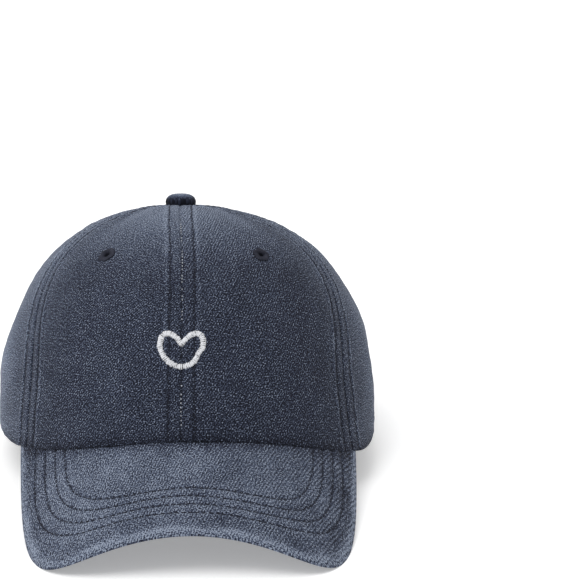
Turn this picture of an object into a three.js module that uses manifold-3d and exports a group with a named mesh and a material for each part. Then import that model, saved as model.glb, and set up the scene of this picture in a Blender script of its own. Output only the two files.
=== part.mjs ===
// A ponytail baseball cap, as it rests by itself on a flat surface.
// Units are millimetres and +Z is up. The front faces -Y, and left means the -X side.
// Each piece is first shaped in the frame of the crown, whose rim lies level at z = 0 around the
// origin. The whole cap is then tipped back until it stands on the peak and on the back rim.

import * as THREE from "three";
import { mergeVertices } from "three/addons/utils/BufferGeometryUtils.js";
import Module from "manifold-3d";

const wasm = await Module();
wasm.setup();

// Crown
const crownHalfWidth = 92.6;
const crownFrontReach = 97;
const crownRearReach = 103;
const crownHeight = 103.8;
const crownRoundness = 2.34;
const crownLean = -3.2;
const crownLeanPower = 10;
const crownFrontSkew = -3.8;
const clothWall = 1.4;
const seamDip = 0.9;
const seamGap = 0.3;
const fitGap = 0.3;
const bindingGap = 0.6;
const seatGap = 0.5;

// Peak
const peakSideInset = 12;
const peakHalfWidth = crownHalfWidth - peakSideInset;
const peakNarrowing = 3.4;
const peakForwardHalfWidth = peakHalfWidth - peakNarrowing;
const peakStart = 46;
const peakReach = 150;
const peakThickness = 3.2;
const peakTuck = 4;
const peakSeatHeight = 8.6;
const peakSlope = 0.59;
const peakBendRadius = 96.8;

// Button and eyelets
const buttonRadius = 7.4;
const buttonHeight = 6;
const shankRadius = 2.5;
const eyeletRadius = 4.1;
const eyeletHoleRadius = 1.7;
const eyeletBarrel = 0.7;
const eyeletHeight = 0.8;
const eyeletSides = 10;

// Heart on the front
const heartHalfWidth = 10.2;
const heartHalfHeight = 8;
const heartStroke = 2.8;
const heartHeight = 1;
const heartAlong = 49.7;

// Openings at the back
const archHalfWidth = 42;
const archTop = 51.4;
const archRoundness = 2.5;
const holeHalfWidth = 20;
const holeTop = 136;
const holeWidest = 99;
const holeBottom = 61.5;
const holeTipHalfWidth = 3.6;
const bindingCloth = 1;
const archBindingWidth = 8.3;
const holeBindingWidth = 9.4;
const footDrop = 2;
const holeTailDrop = 10;

// Strap and buckle
const strapWidth = 16.8;
const strapTabWidth = 16;
const strapThickness = 1.1;
const strapMiddle = 12.1;
const strapInset = 3.6;
const strapTuck = 6;
const buckleLength = 20.2;
const buckleHeight = 22;
const buckleBar = 2.2;
const buckleCorner = 2.4;
const buckleThickness = 1.9;
const buckleFromFoot = 18.2;
const buckleAt = archHalfWidth - buckleFromFoot;
const buckleSide = -1;
const buckleTurn = 0.03;
const buckleLift = 0.4;

// Where it rests
const restFlat = 0.6;

// Six panels, from and to in degrees of cloth turn from the middle of the front. Four have an eyelet, at
// its own cloth turn and way along the profile; an along of 0 means none.
const panels = [
  { name: "front_left", from: -60, to: 0, eyeletTurn: -32.4, eyeletAlong: 99.5 },
  { name: "front_right", from: 0, to: 60, eyeletTurn: 31.4, eyeletAlong: 99.5 },
  { name: "side_left", from: -120, to: -60, eyeletTurn: 0, eyeletAlong: 0 },
  { name: "side_right", from: 60, to: 120, eyeletTurn: 0, eyeletAlong: 0 },
  { name: "back_left", from: -180, to: -120, eyeletTurn: -138.2, eyeletAlong: 96.2 },
  { name: "back_right", from: 120, to: 180, eyeletTurn: 138.2, eyeletAlong: 96.2 },
];

// Where the cloth lies: its own turn in degrees, and its turn in space at the rim and near the top. The
// front and back panels are the wider ones there, so the side seams lie closer together toward the top.
const clothPlaces = [
  { cloth: 0, atRim: 0, atTop: 0 },
  { cloth: 12, atRim: 12, atTop: 12 },
  { cloth: 60, atRim: 55.5, atTop: 82 },
  { cloth: 120, atRim: 120, atTop: 112 },
  { cloth: 148, atRim: 148, atTop: 148 },
  { cloth: 180, atRim: 180, atTop: 180 },
];
const clothLevel = 22;
const clothNearTop = 127;

// Soft folds: turn in space and spread in degrees, low and high as shares of the way from rim to top,
// depth in millimetres, positive where the fold stands out.
const folds = [
  { turn: 77, spread: 5, low: -0.05, high: 0.42, depth: 1.1 },
  { turn: 86, spread: 5, low: 0, high: 0.5, depth: -0.9 },
  { turn: 98, spread: 6, low: -0.05, high: 0.4, depth: 0.8 },
  { turn: -80, spread: 6, low: -0.05, high: 0.36, depth: 0.8 },
  { turn: -92, spread: 6, low: 0, high: 0.4, depth: -0.6 },
  { turn: 150, spread: 5, low: 0.5, high: 0.86, depth: 0.7 },
  { turn: -151, spread: 5, low: 0.5, high: 0.86, depth: 0.7 },
  { turn: 137, spread: 6, low: 0.12, high: 0.46, depth: -0.8 },
  { turn: -138, spread: 6, low: 0.12, high: 0.46, depth: -0.8 },
];

const panelColumns = 10;
const panelRows = 12;
const seamPitch = THREE.MathUtils.degToRad(60);
const peakTurn = THREE.MathUtils.degToRad(68);
const levelTurn = THREE.MathUtils.degToRad(97);

const blend = THREE.MathUtils.lerp;
const ease = THREE.MathUtils.smoothstep;

// The profile of the crown, from the rim up to the top of the back: a rounded arch given as a table of
// the way along it, the share of the full reach that is left, and the height.
const profile = [{ along: 0, reach: 1, height: 0 }];
const profileSteps = 400;
for (let i = 1; i <= profileSteps; i += 1) {
  const angle = (Math.PI / 2) * (i / profileSteps);
  const reach = Math.max(Math.cos(angle), 0) ** (2 / crownRoundness);
  const height = crownHeight * Math.sin(angle) ** (2 / crownRoundness);
  const last = profile[i - 1];
  const step = Math.hypot((reach - last.reach) * crownRearReach, height - last.height);
  profile.push({ along: last.along + step, reach, height });
}
const crownAlong = profile[profileSteps].along;

function profileAt(along) {
  if (along <= 0) {
    return { reach: 1, height: along };
  }
  let high = profile.findIndex((entry) => entry.along >= along);
  if (high < 1) {
    high = profileSteps;
  }
  const a = profile[high - 1];
  const b = profile[high];
  const share = Math.min((along - a.along) / (b.along - a.along), 1);
  return { reach: blend(a.reach, b.reach, share), height: blend(a.height, b.height, share) };
}

// The turn in space of a place on the cloth
function placeTurn(turn, along) {
  const bend = THREE.MathUtils.radToDeg(Math.abs(turn));
  const rise = ease(along, clothLevel, clothNearTop);
  const places = clothPlaces.map((row) => ({ cloth: row.cloth, place: blend(row.atRim, row.atTop, rise) }));
  const high = Math.max(places.findIndex((row) => row.cloth >= bend), 1);
  const [a, b] = bend > 180 ? places.slice(-2) : [places[high - 1], places[high]];
  const place = a.place + ((b.place - a.place) * (bend - a.cloth)) / (b.cloth - a.cloth);
  return Math.sign(turn) * THREE.MathUtils.degToRad(place);
}

// How far the skin stands out from the plain arch: in at the seams, in or out at the folds. Turn is the
// cloth's, and place the one in space.
function relief(turn, place, along) {
  const pitches = turn / seamPitch;
  const fromSeam = Math.abs(pitches - Math.round(pitches)) * 2;
  let out = -seamDip * (1 - fromSeam) ** 4;
  const share = along / crownAlong;
  for (const fold of folds) {
    const across = (THREE.MathUtils.radToDeg(place) - fold.turn) / fold.spread;
    const up = (share - (fold.low + fold.high) / 2) / (fold.high - fold.low);
    out += fold.depth * Math.exp(-across * across - 6 * up * up);
  }
  return out;
}

// A point of the crown's outer skin. The cloth's turn is 0 at the middle of the front and grows toward +X,
// and along runs up from the level of the rim. As worn in, the top leans and the front seam sits a little
// to -X.
function skinPoint(turn, along) {
  const { reach, height } = profileAt(along);
  const place = placeTurn(turn, along);
  const depth = Math.cos(place) > 0 ? crownFrontReach : crownRearReach;
  const out = relief(turn, place, along) * reach;
  const lean = crownLean * Math.max(height / crownHeight, 0) ** crownLeanPower;
  const skew = crownFrontSkew * reach * Math.max(Math.cos(place), 0) ** 4;
  return new THREE.Vector3(
    (crownHalfWidth * reach + out) * Math.sin(place) + lean + skew,
    -(depth * reach + out) * Math.cos(place),
    height,
  );
}

function skinNormal(turn, along) {
  const step = 0.01;
  const across = skinPoint(turn + step, along).sub(skinPoint(turn - step, along));
  const up = skinPoint(turn, along + 1).sub(skinPoint(turn, along - 1));
  return across.cross(up).normalize();
}

function liftedPoint(turn, along, lift) {
  return skinPoint(turn, along).addScaledVector(skinNormal(turn, along), lift);
}

// The turn of the skin that lies at a sideways distance, on the front or on the back.
function frontTurn(x, along) {
  return Math.asin(THREE.MathUtils.clamp(x / (crownHalfWidth * profileAt(along).reach), -1, 1));
}

function backTurn(x, along) {
  const turn = frontTurn(x, along);
  return turn >= 0 ? Math.PI - turn : -Math.PI - turn;
}

function backPoint(x, along, lift) {
  return liftedPoint(backTurn(x, along), along, lift);
}

// The top of the peak: it slopes down to the front and bends down to both sides.
function peakTop(x, y) {
  const forward = -y - crownFrontReach;
  const bend = x ** 2 / (2 * peakBendRadius) + x ** 4 / (6.2 * peakBendRadius ** 3);
  return peakSeatHeight - peakSlope * forward - bend;
}

// The height at which the crown's wall ends: on the peak in front, level at the back.
function rimAlong(turn, lift) {
  const bend = Math.abs(turn);
  const held = Math.sign(turn) * Math.min(bend, peakTurn);
  const foot = liftedPoint(held, 0, lift);
  const front = peakTop(foot.x, foot.y) + seatGap;
  return front * (1 - ease(bend, peakTurn, levelTurn));
}

// A closed solid between two grids of points, each a list of rows. The second grid lies behind the
// first. A looped grid joins its last row to its first.
function sheet(front, back, looped = false) {
  const rows = front.length;
  const columns = front[0].length;
  const points = [...front.flat(), ...back.flat()];
  const at = (side, row, column) => (side * rows + (row % rows)) * columns + column;
  const faces = [];
  const quad = (a, b, c, d) => faces.push(a, b, c, a, c, d);
  const rowEnd = looped ? rows : rows - 1;
  for (let row = 0; row < rowEnd; row += 1) {
    for (let column = 0; column < columns - 1; column += 1) {
      quad(at(0, row, column), at(0, row, column + 1), at(0, row + 1, column + 1), at(0, row + 1, column));
      quad(at(1, row, column), at(1, row + 1, column), at(1, row + 1, column + 1), at(1, row, column + 1));
    }
    quad(at(0, row, 0), at(0, row + 1, 0), at(1, row + 1, 0), at(1, row, 0));
    const last = columns - 1;
    quad(at(0, row, last), at(1, row, last), at(1, row + 1, last), at(0, row + 1, last));
  }
  if (!looped) {
    const end = rows - 1;
    for (let column = 0; column < columns - 1; column += 1) {
      quad(at(0, 0, column), at(1, 0, column), at(1, 0, column + 1), at(0, 0, column + 1));
      quad(at(0, end, column), at(0, end, column + 1), at(1, end, column + 1), at(1, end, column));
    }
  }
  return closedGeometry(points, faces);
}

// A plug through the wall along an outline on the skin, for cutting a hole.
function plug(outline, depth) {
  const count = outline.length;
  const outer = outline.map((spot) => backPoint(spot.x, spot.along, depth));
  const inner = outline.map((spot) => backPoint(spot.x, spot.along, -depth));
  const middle = (ring) => ring.reduce((sum, p) => sum.add(p), new THREE.Vector3()).divideScalar(count);
  const points = [...outer, ...inner, middle(outer), middle(inner)];
  const faces = [];
  for (let i = 0; i < count; i += 1) {
    const next = (i + 1) % count;
    faces.push(i, next, count + next, i, count + next, count + i);
    faces.push(2 * count, next, i, 2 * count + 1, count + i, count + next);
  }
  return closedGeometry(points, faces);
}

// Points and faces as a geometry whose faces look outward.
function closedGeometry(points, faces) {
  let volume = 0;
  for (let i = 0; i < faces.length; i += 3) {
    const [a, b, c] = [points[faces[i]], points[faces[i + 1]], points[faces[i + 2]]];
    volume += a.dot(b.clone().cross(c));
  }
  const index = volume < 0 ? faces.slice().reverse() : faces;
  const geometry = new THREE.BufferGeometry().setFromPoints(points);
  geometry.setIndex(index);
  return geometry;
}

// Cutting
function toSolid(geometry) {
  const bare = geometry.clone();
  bare.deleteAttribute("normal");
  bare.deleteAttribute("uv");
  const merged = mergeVertices(bare, 1e-4);
  return new wasm.Manifold(
    new wasm.Mesh({
      numProp: 3,
      vertProperties: new Float32Array(merged.attributes.position.array),
      triVerts: new Uint32Array(merged.index.array),
    }),
  );
}

function cut(geometry, ...tools) {
  let solid = toSolid(geometry);
  for (const tool of tools) {
    solid = solid.subtract(toSolid(tool));
  }
  const mesh = solid.getMesh();
  const result = new THREE.BufferGeometry();
  result.setAttribute("position", new THREE.BufferAttribute(mesh.vertProperties, 3));
  result.setIndex(new THREE.BufferAttribute(mesh.triVerts, 1));
  return result;
}

// Outlines at the back, as spots of sideways distance and way along the profile
function shiftOutline(spots, distance) {
  return spots.map((spot, i) => {
    const before = spots[Math.max(i - 1, 0)];
    const after = spots[Math.min(i + 1, spots.length - 1)];
    const dx = after.x - before.x;
    const dy = after.along - before.along;
    const length = Math.hypot(dx, dy);
    return { x: spot.x - (dy / length) * distance, along: spot.along + (dx / length) * distance };
  });
}

// The half-moon, from its left foot over its top to its right foot.
function archSpots(foot, count) {
  const spots = [];
  for (let i = 0; i <= count; i += 1) {
    const angle = Math.PI * (1 - i / count);
    const across = Math.sign(Math.cos(angle)) * Math.abs(Math.cos(angle)) ** (2 / archRoundness);
    const up = Math.abs(Math.sin(angle)) ** (2 / archRoundness);
    spots.push({ x: archHalfWidth * across, along: archTop * up });
  }
  spots[0].along = -foot;
  spots[count].along = -foot;
  return spots;
}

// The teardrop, from its lower left over its top to its lower right, with its sides run on downward.
function holeSpots(bottom, count) {
  const side = new THREE.Path();
  side.moveTo(-holeTipHalfWidth, holeBottom);
  const rise = holeWidest - holeBottom;
  const crest = holeTop - holeWidest;
  side.bezierCurveTo(
    -holeTipHalfWidth - 0.35 * holeHalfWidth, holeBottom + 0.22 * rise,
    -holeHalfWidth, holeWidest - 0.5 * rise,
    -holeHalfWidth, holeWidest,
  );
  side.bezierCurveTo(
    -holeHalfWidth, holeWidest + 0.58 * crest,
    -0.55 * holeHalfWidth, holeTop,
    0, holeTop,
  );
  const left = side.getSpacedPoints(count).map((p) => ({ x: p.x, along: p.y }));
  const right = left.slice(0, -1).reverse().map((p) => ({ x: -p.x, along: p.along }));
  const spots = [...left, ...right];
  if (bottom < holeBottom) {
    spots.unshift({ x: -holeTipHalfWidth, along: bottom });
    spots.push({ x: holeTipHalfWidth, along: bottom });
  }
  return spots;
}

const cutDepth = 14;
const archCut = plug(closeBelow(archSpots(footDrop * 4, 30)), cutDepth);
const archClearance = archBindingWidth + fitGap;
const archBindingCut = plug(closeBelow(shiftOutline(archSpots(footDrop * 4, 30), archClearance)), cutDepth);
const holeCut = plug(holeSpots(archTop + 0.75 * archBindingWidth, 16), cutDepth);

// Joins the two ends of an outline by a line of spots, so that the plug follows the crown's bend there.
function closeBelow(spots) {
  const first = spots[0];
  const last = spots[spots.length - 1];
  const between = [];
  for (let i = 1; i < 8; i += 1) {
    between.push({ x: blend(last.x, first.x, i / 8), along: last.along });
  }
  return [...spots, ...between];
}

// Panels: curved walls from the rim to the shank of the button, with a narrow gap at each seam
const panelTop = crownAlong - (shankRadius + fitGap) * (crownRearReach / crownHalfWidth);

function panelGeometry(panel) {
  const grid = (lift) => {
    const rows = [];
    for (let row = 0; row <= panelRows; row += 1) {
      const points = [];
      for (let column = 0; column <= panelColumns; column += 1) {
        const edge = column / panelColumns;
        const start = THREE.MathUtils.degToRad(panel.from);
        const end = THREE.MathUtils.degToRad(panel.to);
        const rim = rimAlong(blend(start, end, edge), lift);
        const along = blend(rim, panelTop, row / panelRows);
        const inset = seamGap / 2 / (crownHalfWidth * profileAt(along).reach);
        points.push(liftedPoint(blend(start + inset, end - inset, edge), along, lift));
      }
      rows.push(points);
    }
    return rows;
  };
  return sheet(grid(0), grid(-clothWall));
}

// A ring of sewn thread through the panel, turned round the axis of its hole.
const eyeletProfile = [
  [eyeletHoleRadius, -clothWall - fitGap],
  [eyeletHoleRadius + eyeletBarrel, -clothWall - fitGap],
  [eyeletHoleRadius + eyeletBarrel, fitGap],
  [eyeletRadius, fitGap],
  [eyeletRadius - eyeletBarrel, fitGap + eyeletHeight],
  [eyeletHoleRadius + eyeletBarrel, fitGap + eyeletHeight],
  [eyeletHoleRadius, -clothWall - fitGap],
].map(([radius, height]) => new THREE.Vector2(radius, height));

// Stands a geometry, made round the y axis, on the skin.
function standOnSkin(geometry, turn, along) {
  const up = new THREE.Vector3(0, 1, 0);
  const spin = new THREE.Quaternion().setFromUnitVectors(up, skinNormal(turn, along));
  return geometry.applyQuaternion(spin).translate(...skinPoint(turn, along).toArray());
}

function eyeletGeometry(panel) {
  const turn = THREE.MathUtils.degToRad(panel.eyeletTurn);
  return standOnSkin(new THREE.LatheGeometry(eyeletProfile, eyeletSides), turn, panel.eyeletAlong);
}

function eyeletHole(panel) {
  const turn = THREE.MathUtils.degToRad(panel.eyeletTurn);
  const radius = eyeletHoleRadius + eyeletBarrel + fitGap;
  const tool = new THREE.CylinderGeometry(radius, radius, 4 * clothWall, eyeletSides);
  return standOnSkin(tool, turn, panel.eyeletAlong);
}

// Button: a low dome on a shank that passes through the meeting point of the panels
function buttonGeometry() {
  const base = crownHeight + fitGap;
  const dome = new THREE.Path();
  dome.moveTo(0, crownHeight - clothWall - 2 * fitGap);
  dome.lineTo(shankRadius, crownHeight - clothWall - 2 * fitGap);
  dome.lineTo(shankRadius, base);
  dome.lineTo(0.92 * buttonRadius, base);
  const shoulder = { x: 0.86 * buttonRadius, y: base + 0.62 * buttonHeight };
  dome.quadraticCurveTo(1.04 * buttonRadius, base + 0.3 * buttonHeight, shoulder.x, shoulder.y);
  dome.quadraticCurveTo(0.6 * buttonRadius, base + buttonHeight, 0, base + buttonHeight);
  const outline = dome.getPoints(4);
  const geometry = new THREE.LatheGeometry(outline, 20);
  return geometry.rotateX(Math.PI / 2).translate(crownLean, 0, 0);
}

// Peak: a plate that bends down to both sides, its inner edge tucked under the crown's wall
function peakOutline(count) {
  const half = new THREE.CubicBezierCurve(
    new THREE.Vector2(-peakHalfWidth, -peakStart),
    new THREE.Vector2(-peakForwardHalfWidth, -peakStart - 1.02 * (peakReach - peakStart)),
    new THREE.Vector2(-0.88 * peakHalfWidth, -peakReach),
    new THREE.Vector2(0, -peakReach),
  );
  const left = half.getSpacedPoints(count);
  const right = left.slice(0, -1).reverse().map((p) => new THREE.Vector2(-p.x, p.y));
  return [...left, ...right];
}

const peakOuter = peakOutline(18);

function peakGeometry() {
  const last = peakOuter.length - 1;
  const startTurn = Math.asin(peakHalfWidth / crownHalfWidth);
  const shares = [0, 0.08, 0.25, 0.5, 0.75, 0.94, 1];
  const grid = (drop, edgeDrop) => peakOuter.map((outer, i) => {
    const turn = blend(-startTurn, startTurn, i / last);
    const inner = new THREE.Vector2(
      (crownHalfWidth - clothWall - peakTuck) * Math.sin(turn),
      -(crownFrontReach - clothWall - peakTuck) * Math.cos(turn),
    );
    return shares.map((share) => {
      const x = blend(inner.x, outer.x, share);
      const y = blend(inner.y, outer.y, share);
      return new THREE.Vector3(x, y, peakTop(x, y) - (share === 1 ? edgeDrop : drop));
    });
  });
  return sheet(grid(0, 0.25 * peakThickness), grid(peakThickness, 0.75 * peakThickness));
}

// Heart: a raised outline that follows the skin of the front
function heartSpots(count) {
  const notch = 0.37 * heartHalfHeight;
  const half = new THREE.Path();
  half.moveTo(0, notch);
  half.bezierCurveTo(
    -0.3 * heartHalfWidth, 0.9 * heartHalfHeight,
    -0.5 * heartHalfWidth, heartHalfHeight,
    -0.68 * heartHalfWidth, heartHalfHeight,
  );
  half.bezierCurveTo(
    -0.92 * heartHalfWidth, heartHalfHeight,
    -heartHalfWidth, 0.6 * heartHalfHeight,
    -heartHalfWidth, 0.28 * heartHalfHeight,
  );
  half.bezierCurveTo(
    -heartHalfWidth, -0.4 * heartHalfHeight,
    -0.5 * heartHalfWidth, -heartHalfHeight,
    0, -heartHalfHeight,
  );
  const left = half.getSpacedPoints(count);
  const right = left.slice(1, -1).reverse().map((p) => new THREE.Vector2(-p.x, p.y));
  return [...left, ...right];
}

function heartGeometry() {
  const spots = heartSpots(15);
  const count = spots.length;
  const onSkin = (x, up, lift) => {
    const along = heartAlong + up;
    return liftedPoint(frontTurn(x, along), along, lift);
  };
  const row = (i, lifts) => {
    const before = spots[(i + count - 1) % count];
    const after = spots[(i + 1) % count];
    const side = new THREE.Vector2(before.y - after.y, after.x - before.x).normalize();
    const shares = [-1, -0.5, 0.5, 1];
    return shares.map((share, j) => {
      const reach = (share * heartStroke) / 2;
      return onSkin(spots[i].x + side.x * reach, spots[i].y + side.y * reach, lifts[j]);
    });
  };
  const crest = fitGap + heartHeight;
  const edge = fitGap + 0.45 * heartHeight;
  const top = spots.map((spot, i) => row(i, [edge, crest, crest, edge]));
  const base = spots.map((spot, i) => row(i, [fitGap, fitGap, fitGap, fitGap]));
  return sheet(top, base, true);
}

// Bindings: a strip of cloth folded round the cut edge of the wall, with a leg on each side
function bindingGeometry(spots, width) {
  const inside = bindingGap;
  const outside = bindingGap + bindingCloth;
  const far = -clothWall;
  const facing = [[width, inside], [width / 2, inside], [-inside, inside]];
  const shell = [[width, outside], [width / 2, outside], [-outside, outside]];
  const mirror = (legs) => legs.slice().reverse().map(([across, lift]) => [across, far - lift]);
  const grid = (section) => {
    const lines = section.map(([across, lift]) => {
      return shiftOutline(spots, across).map((spot) => backPoint(spot.x, spot.along, lift));
    });
    return spots.map((spot, i) => lines.map((line) => line[i]));
  };
  return sheet(grid([...shell, ...mirror(shell)]), grid([...facing, ...mirror(facing)]));
}

// Strap: a ribbon on the line of the crown's wall, given by stops. At each, x is the distance from the
// middle toward the buckle's side, lift the depth and middle the height.
function ribbonGeometry(stops, width, thickness) {
  const corners = stops.map((stop) => new THREE.Vector3(stop.x, stop.lift, stop.middle));
  const path = new THREE.CatmullRomCurve3(corners, false, "centripetal");
  const spots = path.getSpacedPoints(4 * stops.length);
  const heights = [-0.5, 0, 0.5];
  const grid = (side) => spots.map((spot, i) => {
    const before = spots[Math.max(i - 1, 0)];
    const after = spots[Math.min(i + 1, spots.length - 1)];
    const across = new THREE.Vector2(before.y - after.y, after.x - before.x).normalize();
    const shift = (side * thickness) / 2;
    const x = spot.x + across.x * shift;
    const lift = spot.y + across.y * shift;
    return heights.map((share) => backPoint(buckleSide * x, spot.z + share * width, lift));
  });
  return sheet(grid(1), grid(-1));
}

const underBinding = -clothWall - bindingGap - bindingCloth - fitGap - strapThickness / 2;
const behindBar = -buckleThickness / 2 - fitGap - strapThickness / 2;
const overBar = buckleThickness / 2 + fitGap + strapThickness / 2;
const layer = strapThickness + fitGap;

// The flat buckle stands off the bent wall at its two end bars.
const backBend = crownHalfWidth ** 2 / crownRearReach;
const barAway = (buckleLength - buckleBar) / 2;
const barRise = barAway ** 2 / (2 * backBend);
const barReach = barAway * Math.cos(buckleAt / crownHalfWidth);

function strapLongGeometry() {
  const innerBar = buckleAt - barReach;
  const outerBar = buckleAt + barReach;
  const tail = underBinding - layer;
  const behind = behindBar + buckleLift + barRise;
  const over = overBar + buckleLift;
  return ribbonGeometry(
    [
      { x: -archHalfWidth - strapTuck, lift: underBinding, middle: strapMiddle },
      { x: -archHalfWidth + 2, lift: underBinding - 0.3, middle: strapMiddle },
      { x: -archHalfWidth / 2, lift: -strapInset / 2, middle: strapMiddle },
      { x: 0, lift: behind, middle: strapMiddle },
      { x: innerBar, lift: behind, middle: strapMiddle },
      { x: innerBar + buckleBar, lift: behind + 0.3, middle: strapMiddle },
      { x: buckleAt - 0.6 * buckleBar, lift: over + 0.2, middle: strapMiddle },
      { x: buckleAt + 0.6 * buckleBar, lift: over + 0.2, middle: strapMiddle },
      { x: outerBar - 1.5 * buckleBar, lift: behind - 0.6 * layer, middle: strapMiddle },
      { x: outerBar, lift: behind - layer - 0.6, middle: strapMiddle },
      { x: archHalfWidth - 5, lift: tail - 0.5, middle: strapMiddle },
      { x: archHalfWidth + strapTuck, lift: tail - 0.5, middle: strapMiddle },
    ],
    strapWidth,
    strapThickness,
  );
}

// The short tab comes out from under the foot beside the buckle, goes round its outer bar and comes back.
function strapShortGeometry() {
  const bar = buckleAt + barReach;
  const clear = 2 * fitGap + strapThickness / 2;
  const round = buckleBar / 2 + clear + (buckleTurn * strapTabWidth) / 2;
  const over = overBar + buckleLift + barRise;
  const behind = behindBar + buckleLift + barRise;
  return ribbonGeometry(
    [
      { x: archHalfWidth + strapTuck, lift: underBinding, middle: strapMiddle + 1.5 },
      { x: archHalfWidth - 2.6, lift: underBinding - 0.5, middle: strapMiddle + 1.2 },
      { x: bar + round + 0.9, lift: -clear, middle: strapMiddle + 0.4 },
      { x: bar + round, lift: over - 0.3, middle: strapMiddle + 0.1 },
      { x: bar, lift: over + 0.3, middle: strapMiddle },
      { x: bar - 0.5 * buckleBar, lift: over + 0.3, middle: strapMiddle },
      { x: bar - round, lift: blend(behind, over, 0.75), middle: strapMiddle },
      { x: bar - round, lift: blend(behind, over, 0.25), middle: strapMiddle },
      { x: bar - 0.5 * buckleBar, lift: behind - 0.2, middle: strapMiddle },
      { x: bar + 0.3 * buckleBar, lift: behind - 0.2, middle: strapMiddle },
    ],
    strapTabWidth,
    strapThickness,
  );
}

// Buckle: a flat frame with one bar across its middle
function buckleGeometry() {
  const halfLength = buckleLength / 2;
  const halfHeight = buckleHeight / 2;
  const plate = new THREE.Shape();
  plate.moveTo(-halfLength + buckleCorner, -halfHeight);
  plate.lineTo(halfLength - buckleCorner, -halfHeight);
  plate.quadraticCurveTo(halfLength, -halfHeight, halfLength, -halfHeight + buckleCorner);
  plate.lineTo(halfLength, halfHeight - buckleCorner);
  plate.quadraticCurveTo(halfLength, halfHeight, halfLength - buckleCorner, halfHeight);
  plate.lineTo(-halfLength + buckleCorner, halfHeight);
  plate.quadraticCurveTo(-halfLength, halfHeight, -halfLength, halfHeight - buckleCorner);
  plate.lineTo(-halfLength, -halfHeight + buckleCorner);
  plate.quadraticCurveTo(-halfLength, -halfHeight, -halfLength + buckleCorner, -halfHeight);
  const depth = buckleThickness;
  const block = new THREE.ExtrudeGeometry(plate, { depth, bevelEnabled: false, curveSegments: 4 });
  block.translate(0, 0, -depth / 2);
  const slotLength = halfLength - 1.5 * buckleBar;
  const slots = [-1, 1].map((side) => {
    const slot = new THREE.BoxGeometry(slotLength, buckleHeight - 2 * buckleBar, 2 * depth);
    return slot.translate((side * (buckleBar + slotLength)) / 2, 0, 0);
  });
  const geometry = cut(block, ...slots).rotateZ(buckleSide * buckleTurn);
  const turn = backTurn(buckleSide * buckleAt, strapMiddle);
  const outward = skinNormal(turn, strapMiddle);
  const sideways = new THREE.Vector3(0, 0, 1).cross(outward).normalize().negate();
  const upward = sideways.clone().cross(outward).negate();
  const place = new THREE.Matrix4().makeBasis(sideways, upward, sideways.clone().cross(upward));
  place.setPosition(liftedPoint(turn, strapMiddle, buckleLift));
  return geometry.applyMatrix4(place);
}

// Rest: the tip of the peak and the back feet share one floor
function restPose() {
  const footTurn = backTurn(archHalfWidth + archBindingWidth / 2, -footDrop);
  const foot = liftedPoint(footTurn, -footDrop, 0);
  const edge = peakOuter.map((p) => new THREE.Vector3(p.x, p.y, peakTop(p.x, p.y) - 0.75 * peakThickness));
  let tip = edge[0];
  let tilt = 0;
  for (let pass = 0; pass < 6; pass += 1) {
    tilt = Math.atan2(foot.z - tip.z, foot.y - tip.y);
    const level = (p) => p.z * Math.cos(tilt) - p.y * Math.sin(tilt);
    tip = edge.reduce((low, p) => (level(p) < level(low) ? p : low));
  }
  const lowest = foot.z * Math.cos(tilt) - foot.y * Math.sin(tilt);
  const pose = new THREE.Matrix4().makeRotationX(-tilt);
  return pose.premultiply(new THREE.Matrix4().makeTranslation(0, 0, -lowest - restFlat));
}

const pose = restPose();
const floorSize = 4 * crownHeight;
const floor = new THREE.BoxGeometry(floorSize, floorSize, floorSize).translate(0, 0, -floorSize / 2);

// Materials
const cloth = { roughness: 0.92, metalness: 0 };
const materials = {
  twill: new THREE.MeshStandardMaterial({ color: 0x2c3650, ...cloth }),
  fadedTwill: new THREE.MeshStandardMaterial({ color: 0x43526b, ...cloth }),
  thread: new THREE.MeshStandardMaterial({ color: 0x161b2a, ...cloth }),
  whiteThread: new THREE.MeshStandardMaterial({ color: 0xe9eaec, roughness: 0.6, metalness: 0 }),
  brass: new THREE.MeshStandardMaterial({ color: 0x5d4c34, roughness: 0.42, metalness: 1 }),
};

const cap = new THREE.Group();
cap.name = "ponytail_cap";

// Adds a piece in the resting pose; what meets the surface is flattened by it.
function add(name, geometry, material, rests = false) {
  const posed = geometry.applyMatrix4(pose);
  const mesh = new THREE.Mesh(rests ? cut(posed, floor) : posed, material);
  mesh.name = name;
  cap.add(mesh);
}

for (const panel of panels) {
  const tools = panel.eyeletAlong > 0 ? [eyeletHole(panel)] : [];
  if (panel.name.startsWith("back")) {
    tools.push(archCut, holeCut);
  }
  add(`panel_${panel.name}`, cut(panelGeometry(panel), ...tools), materials.twill);
  if (panel.eyeletAlong > 0) {
    add(`eyelet_${panel.name}`, eyeletGeometry(panel), materials.thread);
  }
}
add("button", buttonGeometry(), materials.thread);
add("peak", peakGeometry(), materials.fadedTwill, true);
add("embroidered_heart", heartGeometry(), materials.whiteThread);
add("arch_binding", bindingGeometry(archSpots(footDrop, 28), archBindingWidth), materials.twill, true);
const holeStrip = bindingGeometry(holeSpots(holeBottom - holeTailDrop, 14), holeBindingWidth);
add("ponytail_binding", cut(holeStrip, archBindingCut), materials.twill);
add("strap_long", strapLongGeometry(), materials.thread);
add("strap_short", strapShortGeometry(), materials.thread);
add("buckle", buckleGeometry(), materials.brass);

// The origin is the middle of the bottom of the box round the whole cap.
const box = new THREE.Box3().setFromObject(cap);
const middle = box.getCenter(new THREE.Vector3());
cap.position.set(-middle.x, -middle.y, -box.min.z);

export default cap;
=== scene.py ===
"""A washed twill cap with a ponytail hole, dressed round its frame for a studio picture.

Shapes are worked out in millimetres in the frame of the crown, whose rim lies level at height 0 with the
front toward -Y, and are then tipped back onto the cap's feet, as the frame has them. In that frame turn is
the angle round the crown from the middle of the front toward +X, and way is the length up the crown's
profile from the level of the rim.
"""

import math

import bpy
import numpy as np
from mathutils import Matrix, Vector


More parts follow.
